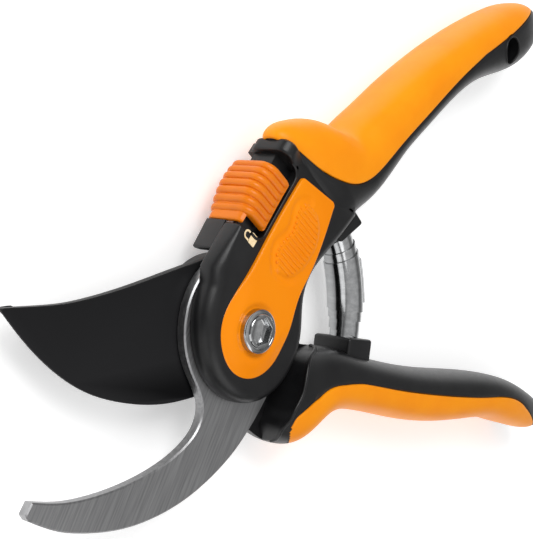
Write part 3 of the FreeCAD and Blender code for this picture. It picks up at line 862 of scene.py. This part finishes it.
def build_upper_handle():
    """Upper handle: black core, orange back, lip of the hanging hole and the shoulder's rim."""
    first = np.array(upper_stations[0][:2]) @ direction(track_angle)
    length = SmoothTable(upper_stations).length
    black_end = 3.2
    handle = Handle(upper_stations, upper_boundary, 1, shoulder_end - first, length - black_end)
    core = handle.core("upper_handle_black", start=1.1, sunk=2.2, early=0.35)
    cut_away(core, upright_cylinder(hanging_hole_radius, -beyond, beyond, hanging_hole))
    settle(core, "upper", "black_nylon", "upper_handle_core")
    grip = handle.grip("upper_handle_orange", start_roll=1.25, start_run=2.4)
    hole_margin = 1.0
    cut_away(grip, upright_cylinder(hanging_hole_radius + hole_margin, -beyond, beyond, hanging_hole))
    settle(grip, "upper", "orange_soft_touch", "upper_grip")
    settle(hole_lip(handle), "upper", "black_nylon")
    settle(build_shoulder(), "upper", "black_nylon")


def build_shoulder():
    """Black rim above the slider's hollow, under the thumb guard."""
    corners = [
        (2.0, shoulder_low, 0.0), (shoulder_face, shoulder_low, 2.6),
        (shoulder_face, shoulder_high, 3.6), (2.0, shoulder_high, 0.0),
    ]
    outline = np.array(rounded(corners, 10))[:, :2]
    dense = [outline[0]]
    for a, b in zip(outline, np.roll(outline, -1, axis=0)):
        parts = max(1, round(math.dist(a, b) / 0.8))
        dense.extend(a + (b - a) * part / parts for part in range(1, parts + 1))
    loop = np.array(dense[:-1])
    rings = []
    steps = [(0.0, 0.7), (0.1, 0.42), (0.3, 0.17), (0.7, 0.0), (3.3, 0.0), (3.9, 0.5)]
    for along, inset in steps:
        moved = inset_loop(loop, np.full(len(loop), inset))
        ring = [(*on_track(shoulder_start + along, across), level) for across, level in moved]
        rings.append(flattened(np.array(ring)))
    surface = Surface()
    surface.skin(rings)
    return add_object("shoulder_rim", surface, nylon)


def collar_tool():
    """Cutting tool: the space in front of the blade's heel, up to the collar."""
    line = smooth_line(collar_line, 120)
    corners = [(-beyond, collar_line[-1][1]), (-beyond, 30.0), (collar_line[0][0], 30.0)]
    outline = [(x, y, 0.0) for x, y in line + corners]
    surface = Surface()
    moulding(surface, outline, [(0, 0, blade_high - 0.15), (0, 0, beyond)])
    return add_object("tool", surface, nylon)


def build_lower_handle():
    """Lower handle: black core, orange belly, the collar's lip and the neck behind the blade."""
    length = SmoothTable(lower_stations).length
    handle = Handle(lower_stations, lower_boundary, -1, grip_start=5.6, grip_end=length - 0.3, slant=1.08)
    core = handle.core("lower_handle_black")
    cut_away(core, collar_tool())
    settle(core, "lower", "black_nylon", "lower_handle_core")
    grip = handle.grip("lower_handle_orange")
    cut_away(grip, collar_tool())
    settle(grip, "lower", "orange_soft_touch", "lower_grip")
    settle(collar_bead(handle), "lower", "black_nylon")
    settle(neck(), "lower", "black_nylon")


def collar_bead(handle):
    """Rounded lip along the collar that stands over the recessed neck."""
    rim = [(x + 0.35, y) for x, y in smooth_line(collar_line, 160)]
    levels = handle.surface_level(rim)
    path = [(x, y, level - 0.28) for (x, y), level in zip(rim, levels) if level > handle_middle + 1.0]
    surface = Surface()
    tube(surface, path, 0.5, 14)
    return add_object("collar_lip", surface, nylon)


def neck():
    """Round plate of the lower half behind the blade's heel."""
    radius = 18.5
    low = 2.0
    edge = 0.6
    profile = [
        (radius - edge, low), (radius, low + edge),
        (radius, blade_low - edge), (radius - edge, blade_low - 0.02),
    ]
    surface = Surface()
    lathe(surface, profile, 120)
    return add_object("lower_neck", surface, nylon)


# ---- hood and front cover ---------------------------------------------------

def build_hood():
    """Hood behind the front cover, with the rail for the slider."""
    surface = Surface()
    open_side = arc(swing_radius, 30, 103, 28)
    outer = [
        (-7.4, 22.1, 0.6), (*on_track(recess_start, hood_top), 0.6),
        (*on_track(shoulder_end, hood_top - 1.0), 0.0), (44.0, 33.0, 0.0), (45.0, 22.0, 1.0),
        (38.0, 15.9, 0.0), (31.5, 12.8, 0.0), (21.5, 11.4, 1.0),
    ]
    outline = rounded([(x, y, 0.0) for x, y in open_side] + outer)
    rim = [(0.5, 0.5, hood_low), (0.15, 0.15, hood_low + 0.15), (0.0, 0.0, hood_low + 0.5)]
    moulding(surface, outline, rim + [(0, 0, hook_high - 0.6), (0.0, 0.0, hook_high - 0.02)])
    hood = add_object("hood_block", surface, nylon)
    notch = Surface()
    corners = [
        on_track(recess_start, recess_inner), on_track(shoulder_start, recess_inner),
        on_track(shoulder_start, beyond), on_track(recess_start, beyond),
    ]
    moulding(notch, [(*corner, 0.0) for corner in corners], [(0, 0, -beyond), (0, 0, beyond)])
    cut_away(hood, add_object("tool", notch, nylon))
    settle(hood, "upper", "black_nylon")
    rail = Surface()
    near, far = recess_start - 1, shoulder_start + 1
    inner, outer = recess_inner - 1, rail_top - 0.1
    corners = [on_track(near, inner), on_track(far, inner), on_track(far, outer), on_track(near, outer)]
    profile = [
        (0.0, 0.0, rail_low), (0.0, 0.0, rail_high - 0.6),
        (0.18, 0.18, rail_high - 0.18), (0.6, 0.6, rail_high),
    ]
    moulding(rail, [(*corner, 0.0) for corner in corners], profile)
    settle(add_object("slider_rail", rail, nylon), "upper", "black_nylon")


cover_rim = [
    (-12.3, 15.2), (-15.9, 8.6), (-17.0, 0.4), (-14.9, -8.2), (-10.2, -14.5), (-3.2, -18.8),
    (3.5, -19.7), (10.0, -17.9), (15.4, -13.8), (19.2, -8.4), (20.9, -2.2), (22.3, 3.8),
    (25.6, 8.5), (31.2, 12.2), (38.0, 15.7), (46.0, 20.6),
]


def build_front_cover():
    """Black cover in front of the hook: a sloping collar at the pivot, a notch for the slider."""
    rim = [(x, y, 0.0, 1.0) for x, y in smooth_line(cover_rim, 84)]
    corner = shoulder_start + 0.6
    top = [
        (46.0, 28.0, 3.0, 0.3), (*on_track(shoulder_end, 20.0), 1.0, 0.3),
        (*on_track(corner, 20.0), 0.2, 0.15), (*on_track(corner, 14.0), 0.2, 0.15),
        (*on_track(shoulder_start, recess_inner), 2.6, 0.12),
        (*on_track(recess_start, recess_inner), 2.6, 0.12),
        (*on_track(recess_start, hood_top), 1.2, 0.25),
        (*on_track(12.0, hood_top), 0.0, 0.5), (*on_track(4.0, hood_top), 0.0, 0.9),
    ]
    collar_width = 3.6
    collar_height = 4.0
    profile = [(0.3, 0.3, hook_high), (0.08, 0.08, hook_high + 0.12), (0.0, 0.0, hook_high + 0.4)]
    collar = rounding(collar_width, collar_height, front_face - collar_height)
    profile += [(inset, 0.0, level) for inset, level in collar]
    surface = Surface()
    moulding(surface, rounded(rim + top), profile)
    settle(add_object("front_cover", surface, nylon, 50), "upper", "black_nylon")


def build_slider_rim():
    """Thin raised rim between the cover plate and the slider's hollow."""
    inner = recess_inner - 0.45
    corners = [
        (*on_track(recess_start - 0.2, 17.0), 0.0), (*on_track(recess_start - 0.2, inner), 2.9),
        (*on_track(shoulder_start + 0.35, inner), 2.9), (*on_track(shoulder_start + 0.35, 17.5), 0.0),
    ]
    path = [(x, y, front_face - 0.02) for x, y, _ in rounded(corners, 10)]
    dense = []
    for a, b in zip(path[:-1], path[1:]):
        dense.append(a)
        if math.dist(a, b) > 3:
            dense.extend(tuple(np.array(a) + (np.array(b) - np.array(a)) * s) for s in (0.25, 0.5, 0.75))
    dense.append(path[-1])
    surface = Surface()
    tube(surface, dense, 0.42, 12)
    settle(add_object("slider_hollow_rim", surface, nylon), "upper", "black_nylon")


# ---- cover plate ------------------------------------------------------------

# finger pad: rows of place along the track with the pad's two sides across it
pad_rows = [
    (16.0, 2.6, 4.4), (17.4, -1.0, 5.9), (19.0, -2.5, 7.3), (21.1, -3.7, 7.9), (23.5, -4.4, 7.1),
    (26.7, -4.6, 6.1), (29.5, -4.5, 6.6), (31.9, -3.8, 7.8), (34.2, -2.4, 7.8), (36.2, 0.6, 5.2),
]
pad_ribs = 14


def pad_sides(along):
    """Right and left sides of the finger pad at places along the track."""
    rows = np.array(pad_rows)
    return np.interp(along, rows[:, 0], rows[:, 1]), np.interp(along, rows[:, 0], rows[:, 2])


def pad_outline():
    """Closed outline of the finger pad in the plane."""
    right = smooth_line([row[:2] for row in pad_rows], 60)
    left = smooth_line([(row[0], row[2]) for row in pad_rows], 60)
    return np.array([on_track(along, across) for along, across in right + left[::-1]])


plate_fall = 1.0
moat_depth = 0.32
pad_rise = 0.22
bolt_seat_depth = 0.35


def plate_relief(points):
    """Relief of the cover plate: domed round the bolt, with a low pad in a soft dish."""
    radius = np.linalg.norm(points, axis=1)
    across = points @ direction(track_angle + 90)
    along = points @ direction(track_angle)
    round_end = np.where(along > 0, np.abs(across), radius)
    dome = -plate_fall * eased((round_end - 7.6) / 5.6) * eased((11.0 - along) / 10.0)
    outline = pad_outline()
    gap = edge_distance(points, outline)
    signed = np.where(inside(points, outline), gap, -gap)
    side = eased((across - 1.0) / 4.0) + eased((20.0 - along) / 5.0)
    bank = eased((2.6 + signed) / 1.6) * eased(-(signed - 0.4) / 0.8)
    moat = -moat_depth * bank * np.minimum(side + 0.15, 1.0)
    pad = pad_rise * eased((signed + 0.1) / 0.8)
    seat = -bolt_seat_depth * eased((7.4 - radius) / 1.2)
    return dome + moat + pad + seat


def build_cover_plate():
    """Glossy plate over the pivot."""
    rim = smooth_line([
        (33.5, 24.8), (21.6, 9.0), (18.0, 5.4), (13.0, -2.9), (9.4, -8.0), (4.8, -11.3),
        (-0.4, -12.4), (-5.4, -11.3), (-9.7, -7.9), (-12.0, -2.4), (-12.0, 2.6), (-9.0, 8.2),
        (-3.8, 12.4), (8.5, 23.6), (19.9, 33.6),
    ], 120)
    corners = [(x, y, 0.0) for x, y in rim] + [(22.4, 35.6, 1.6), (34.9, 26.3, 1.6)]
    outline = rounded(corners, 8)
    profile = [(0, 0, plate_low + 0.2), (0, 0, front_face - 0.2)]
    profile += [(inset, inset, level) for inset, level in rounding(0.6, 0.6, plate_high - 0.6, 5)]
    surface = Surface()
    moulding(surface, outline, profile, ReliefTop(plate_relief, 0.42, 2))
    plate = add_object("cover_plate_gloss", surface, gloss_orange, 50)
    settle(plate, "upper", "orange_gloss", "cover_plate")


def row_tree(name):
    """Geometry Nodes tree: copies a rib onto points, each as long as its point's length says."""
    tree = bpy.data.node_groups.new(name, "GeometryNodeTree")
    face = tree.interface
    face.new_socket("Points", in_out="INPUT", socket_type="NodeSocketGeometry")
    face.new_socket("Rib", in_out="INPUT", socket_type="NodeSocketObject")
    face.new_socket("Turn", in_out="INPUT", socket_type="NodeSocketVector")
    face.new_socket("Material", in_out="INPUT", socket_type="NodeSocketMaterial")
    face.new_socket("Ribs", in_out="OUTPUT", socket_type="NodeSocketGeometry")
    add, link = tree.nodes.new, tree.links.new
    given, made = add("NodeGroupInput"), add("NodeGroupOutput")
    shape = add("GeometryNodeObjectInfo")
    link(given.outputs["Rib"], shape.inputs["Object"])
    length = add("GeometryNodeInputNamedAttribute")
    length.data_type = "FLOAT"
    length.inputs["Name"].default_value = "length"
    scale = add("ShaderNodeCombineXYZ")
    link(length.outputs["Attribute"], scale.inputs["X"])
    scale.inputs["Y"].default_value = 1.0
    scale.inputs["Z"].default_value = 1.0
    copies = add("GeometryNodeInstanceOnPoints")
    link(given.outputs["Points"], copies.inputs["Points"])
    link(shape.outputs["Geometry"], copies.inputs["Instance"])
    link(given.outputs["Turn"], copies.inputs["Rotation"])
    link(scale.outputs["Vector"], copies.inputs["Scale"])
    real = add("GeometryNodeRealizeInstances")
    link(copies.outputs["Instances"], real.inputs["Geometry"])
    coat = add("GeometryNodeSetMaterial")
    link(real.outputs["Geometry"], coat.inputs["Geometry"])
    link(given.outputs["Material"], coat.inputs["Material"])
    link(coat.outputs["Geometry"], made.inputs["Ribs"])
    return tree


def grow_row(name, rib, places, lengths, tree, turn, material):
    """Row of copies of a rib at places in metres, as one plain object."""
    mesh = bpy.data.meshes.new(name)
    mesh.from_pydata([tuple(place) for place in places], [], [])
    values = mesh.attributes.new("length", "FLOAT", "POINT")
    for item, value in zip(values.data, lengths):
        item.value = float(value)
    row = bpy.data.objects.new(name, mesh)
    bpy.context.scene.collection.objects.link(row)
    modifier = row.modifiers.new("row", "NODES")
    modifier.node_group = tree
    given = {"Rib": rib, "Turn": (0.0, 0.0, math.radians(turn)), "Material": material}
    for item in tree.interface.items_tree:
        if item.in_out == "INPUT" and item.name in given:
            modifier[item.identifier] = given[item.name]
    plain_mesh(row)
    bpy.data.objects.remove(rib)
    tidy_mesh(row.data)
    return row


def build_pad_ribs(tree):
    """Fine ribs across the finger pad, ending in a bumpy left side."""
    half = 6.0
    rib_radius = 0.42
    positions = np.linspace(-half, half, 23)
    radii = rib_radius * np.sqrt(np.clip(1 - np.abs(positions / (half + 0.02)) ** 9, 0.02, 1))
    surface = Surface()
    tube(surface, [(p, 0, 0) for p in positions], radii, 10)
    rib = add_object("pad_rib", surface, gloss_orange)
    along = np.linspace(17.6, 35.0, pad_ribs)
    right, left = pad_sides(along)
    right, left = right + 0.7, left - 0.9
    level = plate_high + 0.08
    places = [(*on_track(a, (r + l) / 2) * MM, level * MM) for a, r, l in zip(along, right, left)]
    lengths = (left - right) / 2 / half
    ribs = grow_row("pad_ribs", rib, places, lengths, tree, track_angle + 90, gloss_orange)
    settle(ribs, "upper", "orange_gloss")
    bumps = Surface()
    bump_height = 0.3
    turns = np.linspace(-1.4, 1.4, 9)
    profile = [(rib_radius * math.cos(t), level + 0.1 + bump_height * math.sin(t)) for t in turns]
    for a, l in zip(along, left):
        lathe(bumps, profile, 14, on_track(a, l + 0.35))
    settle(add_object("pad_bumps", bumps, gloss_orange), "upper", "orange_gloss")


# ---- lock slider ------------------------------------------------------------

slider_ribs = 7
slider_first = 21.9
slider_pitch = 2.14
slider_inner = 13.5
slider_rib_radius = 1.2
slider_wall = 0.95
path_spacing = 0.7
slider_section = [(0.9, 6.4, 0.0), (9.5, 6.5, 2.3), (9.6, 18.9, 3.0), (0.8, 18.95, 0.0)]


def slider_bulge(along):
    """How far the slider's outer face stands out at a place along the track, as a share."""
    step = np.maximum((along - slider_first) / slider_pitch, 0.0)
    return 0.889 + 0.096 * step - 0.01344 * step ** 2


def section_path():
    """Line that a rib follows round the hood, as across and height."""
    line = [point[:2] for point in rounded(slider_section, 9)]
    line = [slider_section[0][:2]] + line[1:-1] + [slider_section[-1][:2]]
    dense = [line[0]]
    for a, b in zip(line[:-1], line[1:]):
        parts = max(1, round(math.dist(a, b) / path_spacing))
        for part in range(1, parts + 1):
            share = part / parts
            dense.append((a[0] + (b[0] - a[0]) * share, a[1] + (b[1] - a[1]) * share))
    return dense


def build_slider(tree):
    """Ribbed orange thumb slider."""
    path = section_path()
    count = len(path)
    ends = np.minimum(np.arange(count), np.arange(count)[::-1]) * path_spacing
    radii = slider_rib_radius * np.sqrt(np.clip(1 - (1 - np.clip(ends / 1.3, 0, 1)) ** 2, 0.12, 1))
    surface = Surface()
    tube(surface, [(across, 0.0, level) for across, level in path], radii, 16)
    rib = add_object("slider_rib", surface, slider_orange)
    along = slider_first + slider_pitch * np.arange(slider_ribs)
    places = [(*on_track(a, slider_inner) * MM, 0.0) for a in along]
    turn = track_angle + 90
    ribs = grow_row("slider_ribs", rib, places, slider_bulge(along), tree, turn, slider_orange)
    settle(ribs, "lock", "orange_slider")
    settle(slider_body(path), "lock", "orange_slider", "lock_slider")
    settle(slider_ledge(path), "lock", "orange_slider")


def slider_rings(path, steps):
    """Skin over the rib path at rows of place along the track and sink below the ribs."""
    line = np.array(path)
    normals = np.gradient(line, axis=0)
    normals = np.column_stack([-normals[:, 1], normals[:, 0]])
    normals /= np.linalg.norm(normals, axis=1)[:, None]
    made = []
    for along, sink in steps:
        section = np.concatenate([line - normals * (0.55 - sink), (line + normals * slider_wall)[::-1]])
        share = slider_bulge(along)
        ring = [(*on_track(along, slider_inner + across * share), level) for across, level in section]
        made.append(np.array(ring))
    surface = Surface()
    surface.skin(made)
    return surface


def slider_body(path):
    """Saddle under the ribs."""
    low = slider_first - 1.15
    high = slider_first + slider_pitch * (slider_ribs - 1) + 0.9
    steps = [(low, 0.5), (low + 0.15, 0.2), (low + 0.5, 0.0), (25.0, 0.0), (28.3, 0.0), (31.0, 0.0)]
    steps += [(high - 0.4, 0.0), (high - 0.1, 0.15), (high, 0.4)]
    return add_object("slider_body", slider_rings(path, steps), slider_orange)


def slider_ledge(path):
    """Narrow ledge at the lower end of the slider's outer face."""
    outer = [point for point in path if point[0] > 8.6 and point[1] < 16.6]
    outer += [(outer[-1][0] - 0.15, 17.2), (outer[-1][0] - 0.6, 17.8), (outer[-1][0] - 1.3, 18.2)]
    steps = [(18.35, 0.7), (18.5, 0.45), (18.9, 0.3), (20.3, 0.25), (21.2, 0.3)]
    return add_object("slider_ledge", slider_rings(outer, steps), slider_orange)


def build_lock_symbol():
    """Generic open padlock printed on the front cover below the slider."""
    centre = on_track(17.0, 15.6)
    level = front_face + 0.02
    ink = (-0.15, 0.04)

    def placed(along, across, rise):
        """Point of the symbol, along and across the track from its middle."""
        place = centre + on_track(along, across)
        return place[0], place[1], level + rise

    surface = Surface()
    body = rounded([(-1.5, -1.4, 0.35), (1.45, -1.4, 0.35), (1.45, 1.25, 0.35), (-1.5, 1.25, 0.35)], 4)
    surface.skin([np.array([placed(x, y, rise) for x, y, _ in body]) for rise in ink])
    reach = 1.0
    arch = [(-0.15 + reach * math.cos(t), 2.45 + reach * math.sin(t)) for t in np.linspace(math.pi, 0, 14)]
    outer = np.array([(-0.15 - reach, 1.1)] + arch + [(-0.15 + reach, 1.9)])
    tangents = np.gradient(outer, axis=0)
    normals = np.column_stack([-tangents[:, 1], tangents[:, 0]])
    normals /= np.linalg.norm(normals, axis=1)[:, None]
    half = 0.24
    band = np.concatenate([outer + normals * half, (outer - normals * half)[::-1]])
    surface.skin([np.array([placed(x, y, rise) for x, y in band]) for rise in ink])
    settle(add_object("open_lock_symbol", surface, cream), "upper", "black_nylon")


# ---- blade and hook ---------------------------------------------------------

def build_hook():
    """Fixed hook with a fine chamfer on both faces."""
    inner = [
        (-5.7, 19.3), (-10.6, 16.6), (-15.0, 12.4), (-18.0, 6.4), (-18.9, -0.5), (-17.6, -6.9),
        (-15.5, -12.4), (-14.8, -17.2), (-16.6, -21.2), (-21.8, -24.8), (-31.6, -27.5),
        (-42.0, -28.3), (-53.0, -27.7), (-61.8, -26.0), (-70.0, -23.0),
    ]
    outer = [
        (-71.4, -27.0), (-64.1, -32.0), (-56.0, -35.5), (-45.0, -38.5), (-33.1, -39.4),
        (-21.7, -38.1), (-12.4, -35.3), (-4.1, -31.4), (3.1, -26.3), (8.8, -21.2), (13.6, -14.8),
        (16.8, -7.0),
    ]
    tang = [(25.5, 13.0), (34.5, 22.8), (46.0, 27.2), (53.0, 30.0), (50.0, 35.0), (28.0, 26.5), (6.0, 22.2)]
    corners = [(x, y, 0.0) for x, y in smooth_line(inner, 130)] + [(-72.2, -25.4, 0.6)]
    corners += [(x, y, 0.0) for x, y in smooth_line(outer, 110)] + [(x, y, 0.0) for x, y in tang]
    thin = 0.38
    profile = [(thin, thin, hook_low), (0, 0, hook_low + thin)]
    profile += [(0, 0, hook_high - thin), (thin, thin, hook_high)]
    surface = Surface()
    moulding(surface, rounded(corners, 5), profile)
    settle(add_object("hook_ground", surface, steel, 28), "upper", "hook_steel", "hook_blade")


def build_blade():
    """Coated blade, hollow-ground along its back to the cutting edge."""
    edge = [
        (-70.4, 21.3), (-64.4, 12.0), (-56.9, 3.0), (-47.5, -4.7), (-38.5, -9.3),
        (-30.1, -12.3), (-22.5, -14.0), (-12.5, -14.9),
    ]
    spine = [
        (-4.1, 19.1), (-18.5, 18.4), (-31.0, 17.7), (-43.5, 17.6), (-52.1, 18.1), (-60.3, 19.4),
        (-70.4, 21.3),
    ]
    edge_line = smooth_line(edge, 120)
    share = np.linspace(0, 1, 120)
    ground = eased(share / 0.06) * eased((1 - share) / 0.15)
    corners = [(x, y, 0.0, weight) for (x, y), weight in zip(edge_line, ground)]
    heel = 19.5
    corners += [(x, y, 0.0, 0.0) for x, y in arc(heel, 231, 282, 20)]
    corners += [(14.0, -25.0, 0.0), (36.0, -29.0, 0.0), (52.0, -35.0, 0.0), (55.0, -29.5, 0.0)]
    corners += [(x, y, 0.0, 0.0) for x, y in arc(heel, 331, 461, 50)]
    corners += [(x, y, 0.0, 0.0) for x, y in smooth_line(spine, 90)[1:-1]]
    outline = rounded(corners)
    profile = [(4.4, 0.25, blade_low), (2.0, 0.0, blade_low + 0.9), (0.0, 0.0, blade_high - 0.75)]
    profile += [(0.0, 0.0, blade_high - 0.22), (0.12, 0.22, blade_high)]
    surface = Surface()
    moulding(surface, outline, profile)
    settle(add_object("blade_coated", surface, coating, 28), "lower", "black_coating", "cutting_blade")


# ---- pivot ------------------------------------------------------------------

def build_bolt():
    """Polished bolt head with stepped rings and a hexagon socket."""
    sides = 96
    turns = np.linspace(0, 2 * math.pi, sides, endpoint=False)
    flats = 6.3
    wedge = np.mod(turns, math.pi / 3) - math.pi / 6
    hexagon = flats / 2 / np.cos(wedge)
    seat = washer_high
    top = bolt_high
    rows = [
        (0.25, seat + 0.02), (0.0, seat + 0.25), (0.0, top - 0.95), (0.18, top - 0.62),
        (0.55, top - 0.42), (0.95, top - 0.42), (1.05, top - 0.52), (1.2, top - 0.5),
        (1.32, top - 0.2), (1.5, top - 0.03), (1.75, top),
    ]
    circle = np.column_stack([np.cos(turns), np.sin(turns)])
    rings = []
    for step, level in rows:
        rings.append(np.column_stack([(bolt_radius - step) * circle, np.full(sides, level)]))
    socket = [
        (0.22, top - 0.02), (0.1, top - 0.12), (0.0, top - 0.35), (0.0, top - 1.9),
        (-0.35, top - 2.05),
    ]
    for grow, level in socket:
        radius = np.minimum(hexagon + grow, bolt_radius - 1.85)
        rings.append(np.column_stack([radius[:, None] * circle, np.full(sides, level)]))
    surface = Surface()
    surface.skin(rings)
    shank_radius = 3.0
    lathe(surface, [(shank_radius, 3.1), (shank_radius, seat + 0.1)], 48)
    settle(add_object("bolt_polished", surface, chrome, 30), "upper", "bright_chrome", "pivot_bolt")


# ---- spring and seats -------------------------------------------------------

spring_radius = 47.6
spring_low_angle = -17.0
spring_high_angle = 20.0
strip_thickness = 0.42
seat_width = 13.0
seat_depth = 8.0
seat_reach = 5.2


def build_spring():
    """Volute spring rolled from one tapered strip, widest turn outside, bent between its seats."""
    middle = (spring_low_angle + spring_high_angle) / 2
    full = math.radians(spring_high_angle - spring_low_angle) / 2 * spring_radius + 2.2
    taper = np.array([
        (0.0, full), (1.0, full), (1.5, 13.6), (2.2, 11.0), (3.2, 8.4), (3.6, 7.2), (4.2, 5.8),
    ])
    count = 303
    turns = np.linspace(0, taper[-1, 0], count)
    half = np.interp(turns, taper[:, 0], taper[:, 1])
    inner_turn = 3.55
    radius = inner_turn + (turns / turns[-1]) * 1.65
    angle = math.radians(52) - (turns[-1] - turns) * 2 * math.pi
    shares = np.linspace(-1, 1, 15)
    faces = []
    for offset in (strip_thickness / 2, -strip_thickness / 2):
        grid = np.zeros((count, len(shares), 3))
        for row in range(count):
            bend = math.radians(middle) + half[row] * shares / spring_radius
            reach = spring_radius + (radius[row] + offset) * math.cos(angle[row])
            grid[row, :, 0] = reach * np.cos(bend)
            grid[row, :, 1] = reach * np.sin(bend)
            grid[row, :, 2] = handle_middle + (radius[row] + offset) * math.sin(angle[row])
        faces.append(grid)
    surface = Surface()
    surface.shell(faces[0], faces[1])
    spring = add_object("spring_rolled", surface, chrome, 40)
    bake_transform(spring)
    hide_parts("volute_spring")


def seat(name, angle, side, slope):
    """Block behind one end of the spring, with rounded edges and its front sloping down."""
    low, high = handle_middle - seat_width / 2, handle_middle + seat_width / 2
    along, back = direction(angle), direction(angle + 90) * side
    inner, outer = along * (spring_radius - seat_reach), along * (spring_radius + seat_reach)
    corners = [inner, outer, outer + back * seat_depth, inner + back * seat_depth]
    corner_radius = 0.9
    outline = rounded([(*corner, corner_radius, 0.0) for corner in corners], 6)
    profile = [(0.7, 0.7, low), (0.25, 0.25, low + 0.2), (0.0, 0.0, low + 0.7), (0.0, 0.0, high - 0.8)]
    profile += [(inset, inset, level) for inset, level in rounding(0.8, 0.8, high - 0.8)[1:]]
    surface = Surface()
    moulding(surface, outline, profile)
    for index, (x, y, z) in enumerate(surface.points):
        if z > handle_middle:
            behind = max(np.array([x, y]) @ back, 0.0)
            surface.points[index] = (x, y, z - slope * behind)
    return add_object(name, surface, nylon)


def build_seats():
    """The two blocks that hold the spring's ends."""
    upper = seat("upper_seat_block", spring_high_angle, 1, 0.35)
    settle(upper, "upper", "black_nylon", "upper_spring_seat")
    lower = seat("lower_seat_block", spring_low_angle, -1, 0.0)
    settle(lower, "lower", "black_nylon", "lower_spring_seat")


def dress_frame():
    """Finishes for the CAD nodes that stay as they are."""
    finishes = {
        "hook_pins": zinc, "blade_pins": zinc, "pivot_washer": zinc, "pivot_sleeve_nut": zinc,
        "detent_leaf": zinc, "lock_tongue": zinc, "pivot_bush": zinc, "back_cover": nylon,
    }
    for node, material in finishes.items():
        mesh = frame["nodes"][node].data
        mesh.materials.clear()
        mesh.materials.append(material)


# ---- studio -----------------------------------------------------------------

def build_stage():
    """Pale floor, the world and the soft lights."""
    surface = Surface()
    size = 3000.0
    corners = [(-size, -size), (size, -size), (size, size), (-size, size)]
    surface.skin([np.array([(x, y, level) for x, y in corners]) for level in (-2.0, -0.05)])
    paper = Finish("pale_floor", (0.95, 0.95, 0.95), 0.6)
    paper.set("Emission Color", (1, 1, 1, 1))
    paper.set("Emission Strength", 0.35)
    paper.bump(paper.noise(300, 2.0), 0.0001, 0.1)
    floor = add_object("floor", surface, paper.material)
    world = bpy.data.worlds.new("studio")
    world.use_nodes = True
    dress_world(world.node_tree)
    world.node_tree.nodes["Background"].inputs["Strength"].default_value = 0.45
    bpy.context.scene.world = world
    bpy.context.scene.view_settings.view_transform = "Standard"
    target = Vector((0.03, 0.0, 0.01))
    soft_light("key", (-0.18, 0.58, 0.58), target, 0.5, 4.8)
    soft_light("fill", (-0.05, -0.6, 0.6), target, 0.6, 1.6)
    soft_light("side", (-0.6, -0.3, 0.3), target, 0.5, 0.9)


def rising(tree, value, start, end):
    """Share from 0 to 1 while a value goes from start to end."""
    made = tree.nodes.new("ShaderNodeMapRange")
    made.inputs["From Min"].default_value = start
    made.inputs["From Max"].default_value = end
    tree.links.new(value, made.inputs["Value"])
    return made.outputs["Result"]


def dress_world(tree):
    """Bright above, darker bands that show in polished metal, and a glow low on the right."""
    place = tree.nodes.new("ShaderNodeTexCoord")
    parts = tree.nodes.new("ShaderNodeSeparateXYZ")
    tree.links.new(place.outputs["Generated"], parts.inputs["Vector"])
    ramp = tree.nodes.new("ShaderNodeValToRGB")
    shades = [
        (0.0, 0.5), (0.12, 0.12), (0.30, 0.08), (0.42, 0.9), (0.52, 0.3), (0.62, 0.55),
        (0.8, 1.3), (1.0, 1.5),
    ]
    points = ramp.color_ramp.elements
    while len(points) < len(shades):
        points.new(0.5)
    for point, (position, shade) in zip(points, shades):
        point.position = position
        point.color = (shade, shade, shade, 1)
    tree.links.new(parts.outputs["Z"], ramp.inputs["Fac"])
    both = tree.nodes.new("ShaderNodeMath")
    both.operation = "MULTIPLY"
    tree.links.new(rising(tree, parts.outputs["X"], 0.45, 0.75), both.inputs[0])
    tree.links.new(rising(tree, parts.outputs["Z"], 0.35, 0.05), both.inputs[1])
    glow = tree.nodes.new("ShaderNodeMixRGB")
    glow.inputs["Color2"].default_value = (2.2, 2.2, 2.2, 1)
    tree.links.new(both.outputs["Value"], glow.inputs["Fac"])
    tree.links.new(ramp.outputs["Color"], glow.inputs["Color1"])
    tree.links.new(glow.outputs["Color"], tree.nodes["Background"].inputs["Color"])


def soft_light(name, place, target, size, power):
    """Square soft light aimed at a point."""
    lamp = bpy.data.lights.new(name, "AREA")
    lamp.size = size
    lamp.energy = power
    holder = bpy.data.objects.new(name, lamp)
    holder.location = place
    holder.rotation_euler = (target - Vector(place)).to_track_quat("-Z", "Y").to_euler()
    bpy.context.scene.collection.objects.link(holder)


def build_camera():
    """Camera in front of the shears, turned with the pivot's axis leaning right."""
    camera = bpy.data.cameras.new("camera")
    camera.lens = 94.3
    camera.sensor_width = 36
    camera.clip_end = 20
    holder = bpy.data.objects.new("camera", camera)
    right = Vector((0.6614, -0.0724, 0.7465))
    up = Vector((0.2071, 0.9742, -0.0890))
    back = Vector((-0.7208, 0.2134, 0.6594))
    turn = Matrix((right, up, back)).transposed().to_4x4()
    turn.translation = Vector((-0.2508, 0.0906, 0.2543))
    holder.matrix_world = turn
    bpy.context.scene.collection.objects.link(holder)
    bpy.context.scene.camera = holder


build_upper_handle()
build_lower_handle()
build_hood()
build_front_cover()
build_slider_rim()
build_cover_plate()
rib_row = row_tree("rib_row")
build_pad_ribs(rib_row)
build_slider(rib_row)
build_lock_symbol()
build_hook()
build_blade()
build_bolt()
build_spring()
build_seats()
dress_frame()
build_stage()
build_camera()
